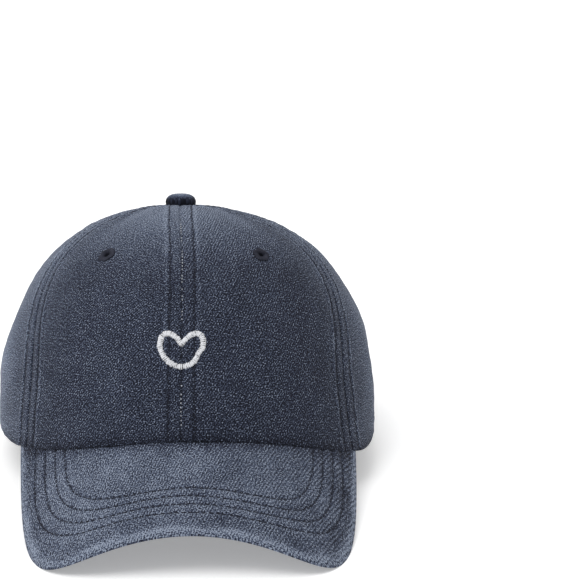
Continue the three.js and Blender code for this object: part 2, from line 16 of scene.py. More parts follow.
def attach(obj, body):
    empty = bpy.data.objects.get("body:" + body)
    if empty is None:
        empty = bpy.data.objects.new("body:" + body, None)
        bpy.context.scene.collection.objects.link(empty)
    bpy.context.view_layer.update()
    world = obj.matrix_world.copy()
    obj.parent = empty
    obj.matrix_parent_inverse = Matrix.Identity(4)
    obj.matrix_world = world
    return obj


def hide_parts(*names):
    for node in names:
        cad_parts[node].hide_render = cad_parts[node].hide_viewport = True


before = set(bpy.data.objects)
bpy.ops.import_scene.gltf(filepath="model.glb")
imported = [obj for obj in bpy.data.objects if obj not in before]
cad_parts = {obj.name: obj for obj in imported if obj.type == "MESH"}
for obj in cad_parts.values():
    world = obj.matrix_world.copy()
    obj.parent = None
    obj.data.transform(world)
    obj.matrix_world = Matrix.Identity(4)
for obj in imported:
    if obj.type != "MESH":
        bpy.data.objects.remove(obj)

bl_info = {
    "name": "Ponytail cap",
    "version": (1, 0, 0),
    "blender": (4, 5, 0),
    "location": "3D View > Sidebar > Cap",
    "description": "Dresses a washed twill ponytail cap round its frame",
    "category": "Object",
}

MILLIMETRE = 0.001
FULL_TURN = 2 * math.pi

# The sizes of the frame, in millimetres
CROWN_HALF_WIDTH = 92.6
CROWN_FRONT_REACH = 97.0
CROWN_REAR_REACH = 103.0
CROWN_HEIGHT = 103.8
CROWN_ROUND = 94.0  # the radius that turns an angle round the crown into a distance
CROWN_ROUNDNESS = 2.34
CROWN_LEAN = -3.2
CROWN_LEAN_POWER = 10
CROWN_FRONT_SKEW = -3.8
CLOTH_WALL = 1.4
SEAM_DIP = 0.9
SEAT_GAP = 0.5
SEAM_PITCH = math.radians(60)
PEAK_TURN = math.radians(68)
LEVEL_TURN = math.radians(97)
PEAK_HALF_WIDTH = 80.6
PEAK_FORWARD_HALF_WIDTH = 77.2
PEAK_START = 46.0
PEAK_REACH = 150.0
PEAK_THICKNESS = 3.2
PEAK_TUCK = 4.0
PEAK_SEAT_HEIGHT = 8.6
PEAK_SLOPE = 0.59
PEAK_BEND_RADIUS = 96.8
PEAK_BEND_SPREAD = 6.2
BUTTON_RADIUS = 7.4
BUTTON_HEIGHT = 6.1
SHANK_RADIUS = 2.5
HEART_HALF_WIDTH = 10.2
HEART_HALF_HEIGHT = 8.0
HEART_STROKE = 2.6
HEART_WAY = 49.7
ARCH_HALF_WIDTH = 42.0
ARCH_TOP = 51.4
ARCH_ROUNDNESS = 2.5
ARCH_BINDING = 8.3
HOLE_HALF_WIDTH = 20.0
HOLE_TOP = 136.0
HOLE_WIDEST = 99.0
HOLE_BOTTOM = 61.5
HOLE_TIP = 3.6
HOLE_BINDING = 9.4
FOOT_DROP = 2.0
STRAP_WIDTH = 16.8
STRAP_TAB_WIDTH = 16.0
STRAP_THICKNESS = 1.1
STRAP_MIDDLE = 12.1
STRAP_INSET = 3.6
STRAP_TUCK = 6.0
BUCKLE_LENGTH = 20.2
BUCKLE_HEIGHT = 22.0
BUCKLE_BAR = 2.2
BUCKLE_THICKNESS = 1.9
BUCKLE_AT = 23.8
BUCKLE_SIDE = -1
BUCKLE_TURN = 0.03
BUCKLE_LIFT = 0.4
FIT_GAP = 0.3
BINDING_DEPTH = 1.6

# What the cloth adds to the frame, in millimetres: the top rises and slopes to the back, the front wall's
# foot flares and sags onto the peak, and the heart has its strands
TOP_RISE = 1.2
TOP_SLOPE = 0.13
TOP_POWER = 24
FOOT_FLARE = 2.8
FOOT_FLARE_SKEW = 1.6
FOOT_FLARE_HEIGHT = 15.0
SEAT_SAG = 0.35
HEART_STRAND = 0.95

# How the crown's frame is tipped back, and where it then stands
REST_TILT = math.radians(10.68503320749)
REST_SHIFT = np.array([-0.02013, 23.82995, 17.92181])

# Panels: name, first and last turn, and the turn and way of the eyelet, in degrees and millimetres. A way
# of 0 means no eyelet.
PANELS = (
    ("front_left", -60, 0, -32.4, 99.5),
    ("front_right", 0, 60, 31.4, 99.5),
    ("side_left", -120, -60, 0.0, 0.0),
    ("side_right", 60, 120, 0.0, 0.0),
    ("back_left", -180, -120, -138.2, 96.2),
    ("back_right", 120, 180, 138.2, 96.2),
)

# Where the cloth lies: its own turn, and its turn in space at the rim and near the top, in degrees. The
# panels of the front and the back are the wider ones toward the top.
CLOTH_TURNS = np.array([0.0, 12.0, 60.0, 120.0, 148.0, 180.0])
TURNS_AT_RIM = np.array([0.0, 12.0, 55.5, 120.0, 148.0, 180.0])
TURNS_AT_TOP = np.array([0.0, 12.0, 82.0, 112.0, 148.0, 180.0])
CLOTH_LEVEL = 22.0
CLOTH_NEAR_TOP = 127.0

# Soft folds of the frame: turn in space and spread in degrees, low and high shares of the way up, depth
FOLDS = np.array(
    [
        (77, 5, -0.05, 0.42, 1.1),
        (86, 5, 0.0, 0.5, -0.9),
        (98, 6, -0.05, 0.4, 0.8),
        (-80, 6, -0.05, 0.36, 0.8),
        (-92, 6, 0.0, 0.4, -0.6),
        (150, 5, 0.5, 0.86, 0.7),
        (-151, 5, 0.5, 0.86, 0.7),
        (137, 6, 0.12, 0.46, -0.8),
        (-138, 6, 0.12, 0.46, -0.8),
    ]
)

# Cloth cut away under the bindings, measured from the opening's edge, and round the middle of an eyelet
BINDING_CUT = 3.2
EYELET_CUT = 3.0

# How far the pattern of the crown's inner side lies from that of its outer side
INNER_SHIFT = 400.0

# Rows of stitching on the peak: half-width and depth of a rounded arch that starts at y = PEAK_ROW_MIDDLE
PEAK_ROWS = ((72.5, 77.0), (67.8, 72.4), (63.0, 67.8), (58.5, 63.3))
PEAK_ROW_MIDDLE = -62.0
PEAK_ROW_ROUNDNESS = 3.75


# Sizes and colours that a user would change


class CapCloth(bpy.types.PropertyGroup):
    """The washed twill and how it is worn"""

    # Besides the seams and folds, the deep end of the ramp is reached in the painted shadow where the crown's
    # foot meets the peak.
    deep: bpy.props.FloatVectorProperty(
        name="Deep", description="Cloth in the seams and folds",
        default=(0.0055, 0.0065, 0.0125), subtype="COLOR", size=3, min=0, max=1,
    )
    navy: bpy.props.FloatVectorProperty(
        name="Navy", description="Cloth where the dye is whole",
        default=(0.026, 0.031, 0.054), subtype="COLOR", size=3, min=0, max=1,
    )
    washed: bpy.props.FloatVectorProperty(
        name="Washed", description="Cloth where the dye is half washed out",
        default=(0.083, 0.104, 0.155), subtype="COLOR", size=3, min=0, max=1,
    )
    worn: bpy.props.FloatVectorProperty(
        name="Worn", description="Cloth on ridges and edges",
        default=(0.27, 0.31, 0.39), subtype="COLOR", size=3, min=0, max=1,
    )
    grain: bpy.props.FloatProperty(
        name="Grain", description="How much single yarns differ in shade", default=0.85, min=0, max=2,
    )
    twill: bpy.props.FloatProperty(
        name="Twill pitch", description="Distance between the slanting lines of the weave",
        default=0.0011, min=0.0004, max=0.004, precision=5, subtype="DISTANCE", unit="LENGTH",
    )
    slack: bpy.props.FloatProperty(
        name="Slack", description="How far the soft cloth waves in and out",
        default=0.0006, min=0, max=0.003, precision=5, subtype="DISTANCE", unit="LENGTH",
    )


class CapThread(bpy.types.PropertyGroup):
    """The sewing thread"""

    length: bpy.props.FloatProperty(
        name="Stitch", description="Length of one stitch and its gap",
        default=0.0031, min=0.001, max=0.01, precision=5, subtype="DISTANCE", unit="LENGTH",
    )
    radius: bpy.props.FloatProperty(
        name="Thread radius", description="Half the thickness of the thread",
        default=0.00028, min=0.0001, max=0.001, precision=5, subtype="DISTANCE", unit="LENGTH",
    )
    navy: bpy.props.FloatVectorProperty(
        name="Navy thread", description="Thread of the seams, the peak and the eyelets",
        default=(0.0085, 0.010, 0.020), subtype="COLOR", size=3, min=0, max=1,
    )
    white: bpy.props.FloatVectorProperty(
        name="White thread", description="Thread of the heart",
        default=(0.65, 0.66, 0.69), subtype="COLOR", size=3, min=0, max=1,
    )


class CapMetal(bpy.types.PropertyGroup):
    """The buckle's antique brass"""

    bright: bpy.props.FloatVectorProperty(
        name="Rubbed brass", description="Metal on the rubbed edges",
        default=(0.40, 0.27, 0.10), subtype="COLOR", size=3, min=0, max=1,
    )
    dark: bpy.props.FloatVectorProperty(
        name="Patina", description="Metal in the hollows",
        default=(0.045, 0.034, 0.022), subtype="COLOR", size=3, min=0, max=1,
    )


# Plain sums on arrays


def smooth(share):
    """0 below 0, 1 above 1, and between them three squares less two cubes."""
    held = np.clip(share, 0, 1)
    return held * held * (3 - 2 * held)


def bell(value, middle, width):
    """A rounded bump of height 1: e to the power of minus the square of the distance in widths."""
    return np.exp(-(((value - middle) / width) ** 2))


def signed_power(value, power):
    """The size of a value raised to a power, with the value's own sign."""
    return np.sign(value) * np.abs(value) ** power


def ripple(across, up, length, seed):
    """An uneven field between about -1 and 1: eight sines in different directions, of nearly one length."""
    dice = np.random.default_rng(seed)
    bearings = dice.uniform(0, FULL_TURN, 8)
    phases = dice.uniform(0, FULL_TURN, 8)
    lengths = length * dice.uniform(0.7, 1.4, 8)
    total = 0.0
    for bearing, phase, size in zip(bearings, phases, lengths):
        total = total + np.sin(FULL_TURN * (across * np.cos(bearing) + up * np.sin(bearing)) / size + phase)
    return total / 2.83


def unit(vectors):
    """Vectors divided by their lengths."""
    return vectors / np.maximum(np.linalg.norm(vectors, axis=-1, keepdims=True), 1e-9)


def steps_along(line):
    """The length of a line of points from its start to each of its points."""
    return np.concatenate([[0.0], np.cumsum(np.linalg.norm(np.diff(line, axis=0), axis=1))])


def resample(line, count):
    """count points at even distances along a line of points."""
    lengths = steps_along(line)
    wanted = np.linspace(0, lengths[-1], count)
    return np.stack([np.interp(wanted, lengths, column) for column in line.T], -1)


def bezier(corners, count):
    """A cubic Bezier line: its four corners weighted by the products of share and 1 - share."""
    share = np.linspace(0, 1, count)[:, None]
    rest = 1 - share
    a, b, c, d = np.asarray(corners, float)
    return rest**3 * a + 3 * rest**2 * share * b + 3 * rest * share**2 * c + share**3 * d


def mirrored(half):
    """A flat line that ends on the middle, followed by its mirror image back to the other side."""
    return np.vstack([half, half[-2::-1] * (-1, 1)])


def offset(line, distance):
    """A flat line moved to its left by a distance, square to the chord between its neighbours."""
    ahead = unit(np.gradient(line, axis=0))
    return line + np.stack([-ahead[:, 1], ahead[:, 0]], -1) * np.asarray(distance)[..., None]


def smooth_line(corners, count):
    """A centripetal Catmull-Rom line through its corners: between two corners a cubic whose slopes are
    those of the parabolas through three neighbours, with knots as far apart as the root of the distance."""
    held = np.asarray(corners, float)
    points = np.vstack([2 * held[0] - held[1], held, 2 * held[-1] - held[-2]])
    knots = np.maximum(np.sum(np.diff(points, axis=0) ** 2, axis=1) ** 0.25, 1e-4)[:, None]
    spans = len(held) - 1
    place = np.linspace(0, spans, 40 * spans + 1)
    i = np.minimum(place.astype(int), spans - 1)
    w = (place - i)[:, None]
    p0, p1, p2, p3 = points[i], points[i + 1], points[i + 2], points[i + 3]
    d0, d1, d2 = knots[i], knots[i + 1], knots[i + 2]
    start = ((p1 - p0) / d0 - (p2 - p0) / (d0 + d1) + (p2 - p1) / d1) * d1
    end = ((p2 - p1) / d1 - (p3 - p1) / (d1 + d2) + (p3 - p2) / d2) * d1
    second, third = -3 * p1 + 3 * p2 - 2 * start - end, 2 * p1 - 2 * p2 + start + end
    return resample(p1 + start * w + second * w**2 + third * w**3, count)


# The crown's skin

_angle = np.linspace(0, math.pi / 2, 401)
PROFILE_REACH = np.maximum(np.cos(_angle), 0) ** (2 / CROWN_ROUNDNESS)
PROFILE_HEIGHT = CROWN_HEIGHT * np.sin(_angle) ** (2 / CROWN_ROUNDNESS)
PROFILE_WAY = steps_along(np.stack([PROFILE_REACH * CROWN_REAR_REACH, PROFILE_HEIGHT], -1))
CROWN_WAY = PROFILE_WAY[-1]
PANEL_TOP = CROWN_WAY - (SHANK_RADIUS + FIT_GAP) * CROWN_REAR_REACH / CROWN_HALF_WIDTH


def reach_at(way):
    """The share of the crown's full reach that is left at a way up its profile."""
    return np.interp(way, PROFILE_WAY, PROFILE_REACH)


def cloth_rise(way):
    """0 at the rim and 1 near the top: the share of the change between the two tables of turns."""
    return smooth((way - CLOTH_LEVEL) / (CLOTH_NEAR_TOP - CLOTH_LEVEL))


def place_turn(turn, way):
    """The turn in space of a place on the cloth: read off straight lines through the tables of turns, the
    one at the rim passing into the one near the top."""
    bend = np.degrees(np.abs(turn))
    low, high = np.interp(bend, CLOTH_TURNS, TURNS_AT_RIM), np.interp(bend, CLOTH_TURNS, TURNS_AT_TOP)
    place = low + (high - low) * cloth_rise(way) + np.maximum(bend - 180, 0)
    return np.sign(turn) * np.radians(place)


def cloth_turn(place, way):
    """The way back, from a turn in space to the cloth's: the sum over the tables' spans of the cloth's span
    times the share of the span in space that has been passed."""
    bend = np.degrees(np.abs(place))
    knots = [low + (high - low) * cloth_rise(way) for low, high in zip(TURNS_AT_RIM, TURNS_AT_TOP)]
    turn = np.maximum(bend - 180, 0)
    for i in range(len(knots) - 1):
        passed = np.clip((bend - knots[i]) / (knots[i + 1] - knots[i]), 0, 1)
        turn = turn + (CLOTH_TURNS[i + 1] - CLOTH_TURNS[i]) * passed
    return np.sign(place) * np.radians(turn)


def seam_distance(turn, way):
    """How far a place lies from the nearest seam, along the round of the crown."""
    seam = np.round(turn / SEAM_PITCH) * SEAM_PITCH
    return np.abs(place_turn(turn, way) - place_turn(seam, way)) * CROWN_ROUND * reach_at(way)


def fold_relief(turn, way):
    """The frame's soft folds: each is its depth times a bell across and a bell up."""
    share = way / CROWN_WAY
    out = 0.0
    for at, spread, low, high, depth in FOLDS:
        up = (share - (low + high) / 2) / (high - low)
        out = out + depth * np.exp(-(((np.degrees(turn) - at) / spread) ** 2) - 6 * up * up)
    return out


def skin(turn, way):
    """The crown's outer skin: the reach and height of the profile, carried round an oval that is longer at
    the back, in a little at each seam, leaning at the top and with its front seam a little to one side. The
    top round the button rises a little and slopes down to the back."""
    turn, way = np.broadcast_arrays(np.asarray(turn, float), np.asarray(way, float))
    reach = reach_at(way)
    height = np.where(way < 0, way, np.interp(way, PROFILE_WAY, PROFILE_HEIGHT))
    pitches = turn / SEAM_PITCH
    from_seam = np.abs(pitches - np.round(pitches)) * 2
    place = place_turn(turn, way)
    out = (fold_relief(place, way) - SEAM_DIP * (1 - from_seam) ** 4) * reach
    depth = np.where(np.cos(place) > 0, CROWN_FRONT_REACH, CROWN_REAR_REACH)
    lean = CROWN_LEAN * np.maximum(height / CROWN_HEIGHT, 0) ** CROWN_LEAN_POWER
    skew = CROWN_FRONT_SKEW * reach * np.maximum(np.cos(place), 0) ** 4
    x = (CROWN_HALF_WIDTH * reach + out) * np.sin(place) + lean + skew
    y = -(depth * reach + out) * np.cos(place)
    top = np.maximum(height / CROWN_HEIGHT, 0) ** TOP_POWER
    return np.stack([x, y, height + (TOP_RISE - TOP_SLOPE * y) * top], -1)


def skin_normal(turn, way):
    """The outward direction of the skin: the step round crossed with the step up."""
    across = skin(turn + 0.01, way) - skin(turn - 0.01, way)
    up = skin(turn, way + 1) - skin(turn, way - 1)
    return unit(np.cross(across, up))


def lifted(turn, way, lift):
    """A point at a distance out from the skin."""
    return skin(turn, way) + skin_normal(turn, way) * np.asarray(lift)[..., None]


def front_turn(x, way):
    """The cloth's turn on the front at a sideways distance: its place is the arc sine of its share of the
    half-width."""
    return cloth_turn(np.arcsin(np.clip(x / (CROWN_HALF_WIDTH * reach_at(way)), -1, 1)), way)


def back_turn(x, way):
    """The same on the back, where the place is half a turn less the arc sine."""
    place = np.arcsin(np.clip(x / (CROWN_HALF_WIDTH * reach_at(way)), -1, 1))
    return cloth_turn(np.where(place >= 0, math.pi - place, -math.pi - place), way)


def back_point(x, way, lift):
    """A point off the skin of the back at a sideways distance."""
    return lifted(back_turn(x, way), way, lift)


def peak_top(x, y):
    """The top of the peak: a slope to the front less a bend to both sides, x squared and x to the fourth."""
    bend = x**2 / (2 * PEAK_BEND_RADIUS) + x**4 / (PEAK_BEND_SPREAD * PEAK_BEND_RADIUS**3)
    return PEAK_SEAT_HEIGHT - PEAK_SLOPE * (-y - CROWN_FRONT_REACH) - bend


def foot_flare(turn, height):
    """How far the wall's foot stands forward on the peak: it dies away to the sides and, as e to the power
    of minus the height above the foot, upward."""
    reach = (FOOT_FLARE + FOOT_FLARE_SKEW * np.sin(turn)) * smooth((math.radians(84) - np.abs(turn)) / 0.5)
    return reach * np.exp(-np.maximum(height, 0) / FOOT_FLARE_HEIGHT)


def rim_way(turn):
    """The way at which the wall ends: just on the peak in front, level at the sides and the back."""
    bend = np.abs(turn)
    held = np.sign(turn) * np.minimum(bend, PEAK_TURN)
    foot = lifted(held, 0.0, foot_flare(place_turn(held, 0.0), 0.0))
    front = peak_top(foot[..., 0], foot[..., 1]) + SEAT_GAP - SEAT_SAG
    return front * (1 - smooth((bend - PEAK_TURN) / (LEVEL_TURN - PEAK_TURN)))


def to_row(points):
    """Tips the crown's frame back about X, shifts it, and flattens what would sink into the floor: the
    height becomes half of itself plus the root of its square and a small square."""
    x, y, z = np.moveaxis(points, -1, 0)
    c, s = math.cos(REST_TILT), math.sin(REST_TILT)
    row = np.stack([x, y * c + z * s, z * c - y * s], -1) + REST_SHIFT
    row[..., 2] = 0.5 * (row[..., 2] + np.sqrt(row[..., 2] ** 2 + 0.12**2))
    return row


# Outlines at the back, as sideways distance and way


def arch_line(count):
    """The half-moon from its left foot over its top: a rounded arch by powers of cosine and sine."""
    angle = np.linspace(math.pi, 0, 600)
    across = signed_power(np.cos(angle), 2 / ARCH_ROUNDNESS)
    up = np.abs(np.sin(angle)) ** (2 / ARCH_ROUNDNESS)
    arch = np.stack([ARCH_HALF_WIDTH * across, ARCH_TOP * up], -1)
    feet = np.array([[-ARCH_HALF_WIDTH, -FOOT_DROP], [ARCH_HALF_WIDTH, -FOOT_DROP]])
    return resample(np.vstack([feet[:1], arch, feet[1:]]), count)


def hole_line(bottom, count):
    """The teardrop from its lower left over its top: two Bezier lines and their mirror image."""
    rise = HOLE_WIDEST - HOLE_BOTTOM
    crest = HOLE_TOP - HOLE_WIDEST
    side = bezier(
        [
            (-HOLE_TIP, HOLE_BOTTOM),
            (-HOLE_TIP - 0.35 * HOLE_HALF_WIDTH, HOLE_BOTTOM + 0.22 * rise),
            (-HOLE_HALF_WIDTH, HOLE_WIDEST - 0.5 * rise),
            (-HOLE_HALF_WIDTH, HOLE_WIDEST),
        ],
        120,
    )
    top = bezier(
        [
            (-HOLE_HALF_WIDTH, HOLE_WIDEST),
            (-HOLE_HALF_WIDTH, HOLE_WIDEST + 0.58 * crest),
            (-0.55 * HOLE_HALF_WIDTH, HOLE_TOP),
            (0, HOLE_TOP),
        ],
        120,
    )
    left = np.vstack([[(-HOLE_TIP, bottom)], side, top[1:]])
    return resample(mirrored(left), count)


def beyond_arch(x, way, width):
    """How far a spot lies outside the half-moon widened by width, along the line to its foot's middle."""
    share = (
        np.abs(x / (ARCH_HALF_WIDTH + width)) ** ARCH_ROUNDNESS
        + np.abs(np.maximum(way, 0) / (ARCH_TOP + width)) ** ARCH_ROUNDNESS
    ) ** (1 / ARCH_ROUNDNESS)
    return (share - 1) * np.hypot(x, way)


def inside_line(line, x, way):
    """Which spots lie in a closed outline: those with an odd number of its sides straight above them."""
    start, end = line, np.roll(line, -1, axis=0)
    x, way = x[..., None], way[..., None]
    spans = (start[:, 0] > x) != (end[:, 0] > x)
    run = np.where(np.abs(end[:, 0] - start[:, 0]) < 1e-9, 1e-9, end[:, 0] - start[:, 0])
    crossing = start[:, 1] + (end[:, 1] - start[:, 1]) * (x - start[:, 0]) / run
    return np.sum(spans & (crossing > way), axis=-1) % 2 == 1


# Cloth detail of the crown


def clear_of_trim(place, way):
    """1 on open cloth, falling to 0 at the bindings, the eyelets and the heart."""
    reach = reach_at(way)
    x = CROWN_HALF_WIDTH * reach * np.sin(place)
    behind = np.abs(place) > math.pi / 2
    hole = np.hypot(x, (way - HOLE_WIDEST) * HOLE_HALF_WIDTH / (HOLE_TOP - HOLE_WIDEST)) - HOLE_HALF_WIDTH
    open_share = np.where(behind, smooth((hole - HOLE_BINDING) / 14), 1.0)
    open_share = open_share * np.where(behind, smooth((beyond_arch(x, way, ARCH_BINDING) - 1) / 14), 1.0)
    for _, _, _, at, up in PANELS:
        if up > 0:
            away = np.hypot((place - place_turn(math.radians(at), up)) * CROWN_ROUND * reach, way - up)
            open_share = open_share * smooth((away - 3.5) / 9)
    away = np.hypot(place * CROWN_HALF_WIDTH, way - HEART_WAY)
    return open_share * np.where(behind, 1.0, smooth((away - 12) / 12))


def seam_band(way):
    """Half the width of the stitched band at each seam, a little narrower toward the top."""
    return 6.3 - 0.9 * np.clip(way / CROWN_WAY, 0, 1)


def crown_detail(turn, way, slack):
    """How far the cloth stands off the skin and how pale it is. Each seam has a narrow groove, a flat band,
    a stitched line at the band's edge and a rubbed ridge beyond it, all bells of the distance from the seam.
    The open cloth waves softly, and short puckers run off the seams."""
    rim = rim_way(turn)
    away = seam_distance(turn, way)
    turn = place_turn(turn, way)
    band = seam_band(way)
    round_way = turn * CROWN_ROUND
    bend = np.degrees(np.abs(turn))
    side = bell(bend, 90, 26)
    back = smooth((bend - 112) / 20)
    front = 1 - smooth((bend - 52) / 16)
    free = clear_of_trim(turn, way)
    quiet = smooth((way - 8) / 18) * smooth((away - 6) / 9)
    wave = ripple(round_way * 0.8, way, 46, 3)
    lift = slack * (0.4 + 0.7 * side + 0.35 * back) * wave * free * quiet
    lift = lift + 0.07 * ripple(round_way, way, 8, 5) * free
    pucker = ripple(round_way * 0.25, way, 5.5, 9) * bell(away, band + 1, 4.5)
    lift = lift + 0.13 * pucker * (0.35 + 0.65 * free)
    beat = 0.75 + 0.25 * np.sin(FULL_TURN * way / 3.1)
    outer_seam = smooth((bend - 40) / 12)
    low_front = (1 - smooth((way - 28) / 30)) * (1 - smooth((bend - 20) / 10))
    ridge = bell(away, band + 1.8, 1.15 - 0.2 * outer_seam)
    groove = bell(away, band, 0.8)
    seam = bell(away, 0, 0.85)
    lift = lift + 0.2 * (1 - smooth((away - band + 0.5) / 0.9)) - 0.42 * seam - 0.3 * beat * groove
    lift = lift + 0.38 * ridge * (0.8 + 0.3 * ripple(round_way, way, 12, 11))
    hem = smooth((bend - 66) / 12)
    lift = lift + 0.25 * hem * bell(way, 1.2, 1.3) + foot_flare(turn, way - rim)

    high = smooth((way - 80) / 68)
    # Paler toward the top of the front and the back: partly washed-out cloth, partly painted light from
    # above. The side panels are paler, and the left one is painted lighter than the right, as if lit from the
    # left.
    tone = 0.17 + 0.49 * high * front + (0.46 - 0.045 * np.sign(turn)) * side
    tone = tone + back * (0.03 + 0.24 * smooth((way - 96) / 50))
    tone = tone - 0.035 * front * smooth((bend - 30) / 15) * (1 - high)
    # The front's left half is painted lighter, as if lit from the left.
    tone = tone + 0.045 * smooth((10 - round_way) / 50) * front + 0.04 * smooth((50 - way) / 60) * side
    tone = tone + 0.02 * ripple(round_way, way, 34, 17) + 0.015 * ripple(round_way, way, 13, 19)
    tone = tone + 0.08 * wave * side * quiet + 0.08 * np.maximum(fold_relief(turn, way), 0)
    rub = 0.6 + 0.4 * high + 0.35 * ripple(round_way, way, 16, 23)
    rub = rub * (1 - 0.7 * low_front) + 0.5 * outer_seam
    tone = tone + 0.2 * rub * ridge - (0.17 + 0.08 * outer_seam) * groove
    tone = tone - (0.12 + 0.1 * outer_seam) * seam
    tone = tone + 0.01 * bell(away, band / 2, 3) + 0.07 * outer_seam * bell(away, band / 2, 0.9)
    tone = tone + outer_seam * (0.06 * bell(away, band + 5.2, 1.0) - 0.06 * bell(away, band + 3.6, 0.8))
    tone = tone + hem * (0.2 * bell(way, 0.8, 1.0) - 0.05 * bell(way, 3.2, 0.8))
    # Painted shadow in the crevice where the wall's foot meets the peak.
    crevice_shadow = smooth((80 - bend) / 12) * bell(way, rim, 3.2)
    return lift, tone - 0.2 * crevice_shadow


# Meshes


def outward(points, faces):
    """Whether the faces look outward: the volume that they enclose, by fans of triangles, isn't negative."""
    volume = 0.0
    for group in faces:
        for k in range(1, group.shape[1] - 1):
            a, b, c = points[group[:, 0]], points[group[:, k]], points[group[:, k + 1]]
            volume += np.einsum("ij,ij->", a, np.cross(b, c))
    return volume >= 0


def put_mesh(name, points, faces, corner_uv, fields=None):
    """Puts points in millimetres of the row's frame and groups of faces into a mesh object at the origin.
    corner_uv has a pair for each corner of each face, in millimetres of cloth, and fields a value for each
    point. All faces are turned round if they look inward."""
    if not outward(points, faces):
        faces = [group[:, ::-1] for group in faces]
        corner_uv = [group[:, ::-1] for group in corner_uv]
    sizes = np.concatenate([np.full(len(group), group.shape[1]) for group in faces])
    mesh = bpy.data.meshes.new(name)
    mesh.vertices.add(len(points))
    mesh.vertices.foreach_set("co", (points * MILLIMETRE).astype(np.float32).ravel())
    mesh.loops.add(int(sizes.sum()))
    corners = np.concatenate([group.ravel() for group in faces]).astype(np.int32)
    mesh.loops.foreach_set("vertex_index", corners)
    mesh.polygons.add(len(sizes))
    mesh.polygons.foreach_set("loop_start", np.concatenate([[0], np.cumsum(sizes)[:-1]]).astype(np.int32))
    layer = mesh.uv_layers.new(name="cloth")
    uv = np.concatenate([group.reshape(-1, 2) for group in corner_uv]) * MILLIMETRE
    layer.data.foreach_set("uv", uv.astype(np.float32).ravel())
    for key, values in (fields or {}).items():
        held = mesh.attributes.new(key, "FLOAT", "POINT").data
        held.foreach_set("value", values.astype(np.float32).ravel())
    mesh.update(calc_edges=True)
    mesh.polygons.foreach_set("use_smooth", np.ones(len(sizes), bool))
    mesh.validate()
    mesh.update()
    made = bpy.data.objects.new(name, mesh)
    bpy.context.scene.collection.objects.link(made)
    return made


def shell(front, back, keep=None):
    """A closed wall between two grids of points: a face for each kept cell on both grids, and a strip
    wherever a kept cell has no kept neighbour. Returns points, faces and the grid place of each point."""
    rows, columns = front.shape[:2]
    index = np.arange(rows * columns).reshape(rows, columns)
    a, b, c, d = index[:-1, :-1], index[:-1, 1:], index[1:, 1:], index[1:, :-1]
    if keep is None:
        keep = np.ones(a.shape, bool)
    count = rows * columns
    cells = np.stack([a, b, c, d], -1)[keep]
    faces = [cells, cells[:, ::-1] + count]
    padded = np.pad(keep, 1)
    beside = (padded[:-2, 1:-1], padded[1:-1, 2:], padded[2:, 1:-1], padded[1:-1, :-2])
    for (p, q), neighbour in zip(((a, b), (b, c), (c, d), (d, a)), beside):
        edge = keep & ~neighbour
        faces.append(np.stack([q[edge], p[edge], p[edge] + count, q[edge] + count], -1))
    quads = np.concatenate(faces)
    used, packed = np.unique(quads, return_inverse=True)
    points = np.concatenate([front.reshape(-1, 3), back.reshape(-1, 3)])[used]
    return points, packed.reshape(quads.shape), used


def loft(grid, lengthways, around, ring=False):
    """Joins rows of closed loops of points into a surface, and fills the end loops or joins them in a ring.
    lengthways and around are the lengths that the cloth's pattern follows."""
    rows, columns = grid.shape[:2]
    spans = rows if ring else rows - 1
    index = np.arange(rows * columns).reshape(rows, columns)
    wrapped = np.vstack([index, index[:1]]) if ring else index
    beside = np.roll(wrapped, -1, axis=1)
    quads = np.stack([wrapped[:-1], beside[:-1], beside[1:], wrapped[1:]], -1).reshape(-1, 4)
    uv = np.stack(np.meshgrid(lengthways[: spans + 1], around[: columns + 1], indexing="ij"), -1)
    corners = np.stack([uv[:-1, :-1], uv[:-1, 1:], uv[1:, 1:], uv[1:, :-1]], -2).reshape(-1, 4, 2)
    faces, corner_uv = [quads], [corners]
    if not ring:
        faces += [index[:1, ::-1], index[-1:]]
        corner_uv += [np.zeros((1, columns, 2)), np.zeros((1, columns, 2))]
    return grid.reshape(-1, 3), faces, corner_uv


def point_uv(faces, uv):
    """The pattern's pair for each corner, taken from its point."""
    return [uv[group] for group in faces]


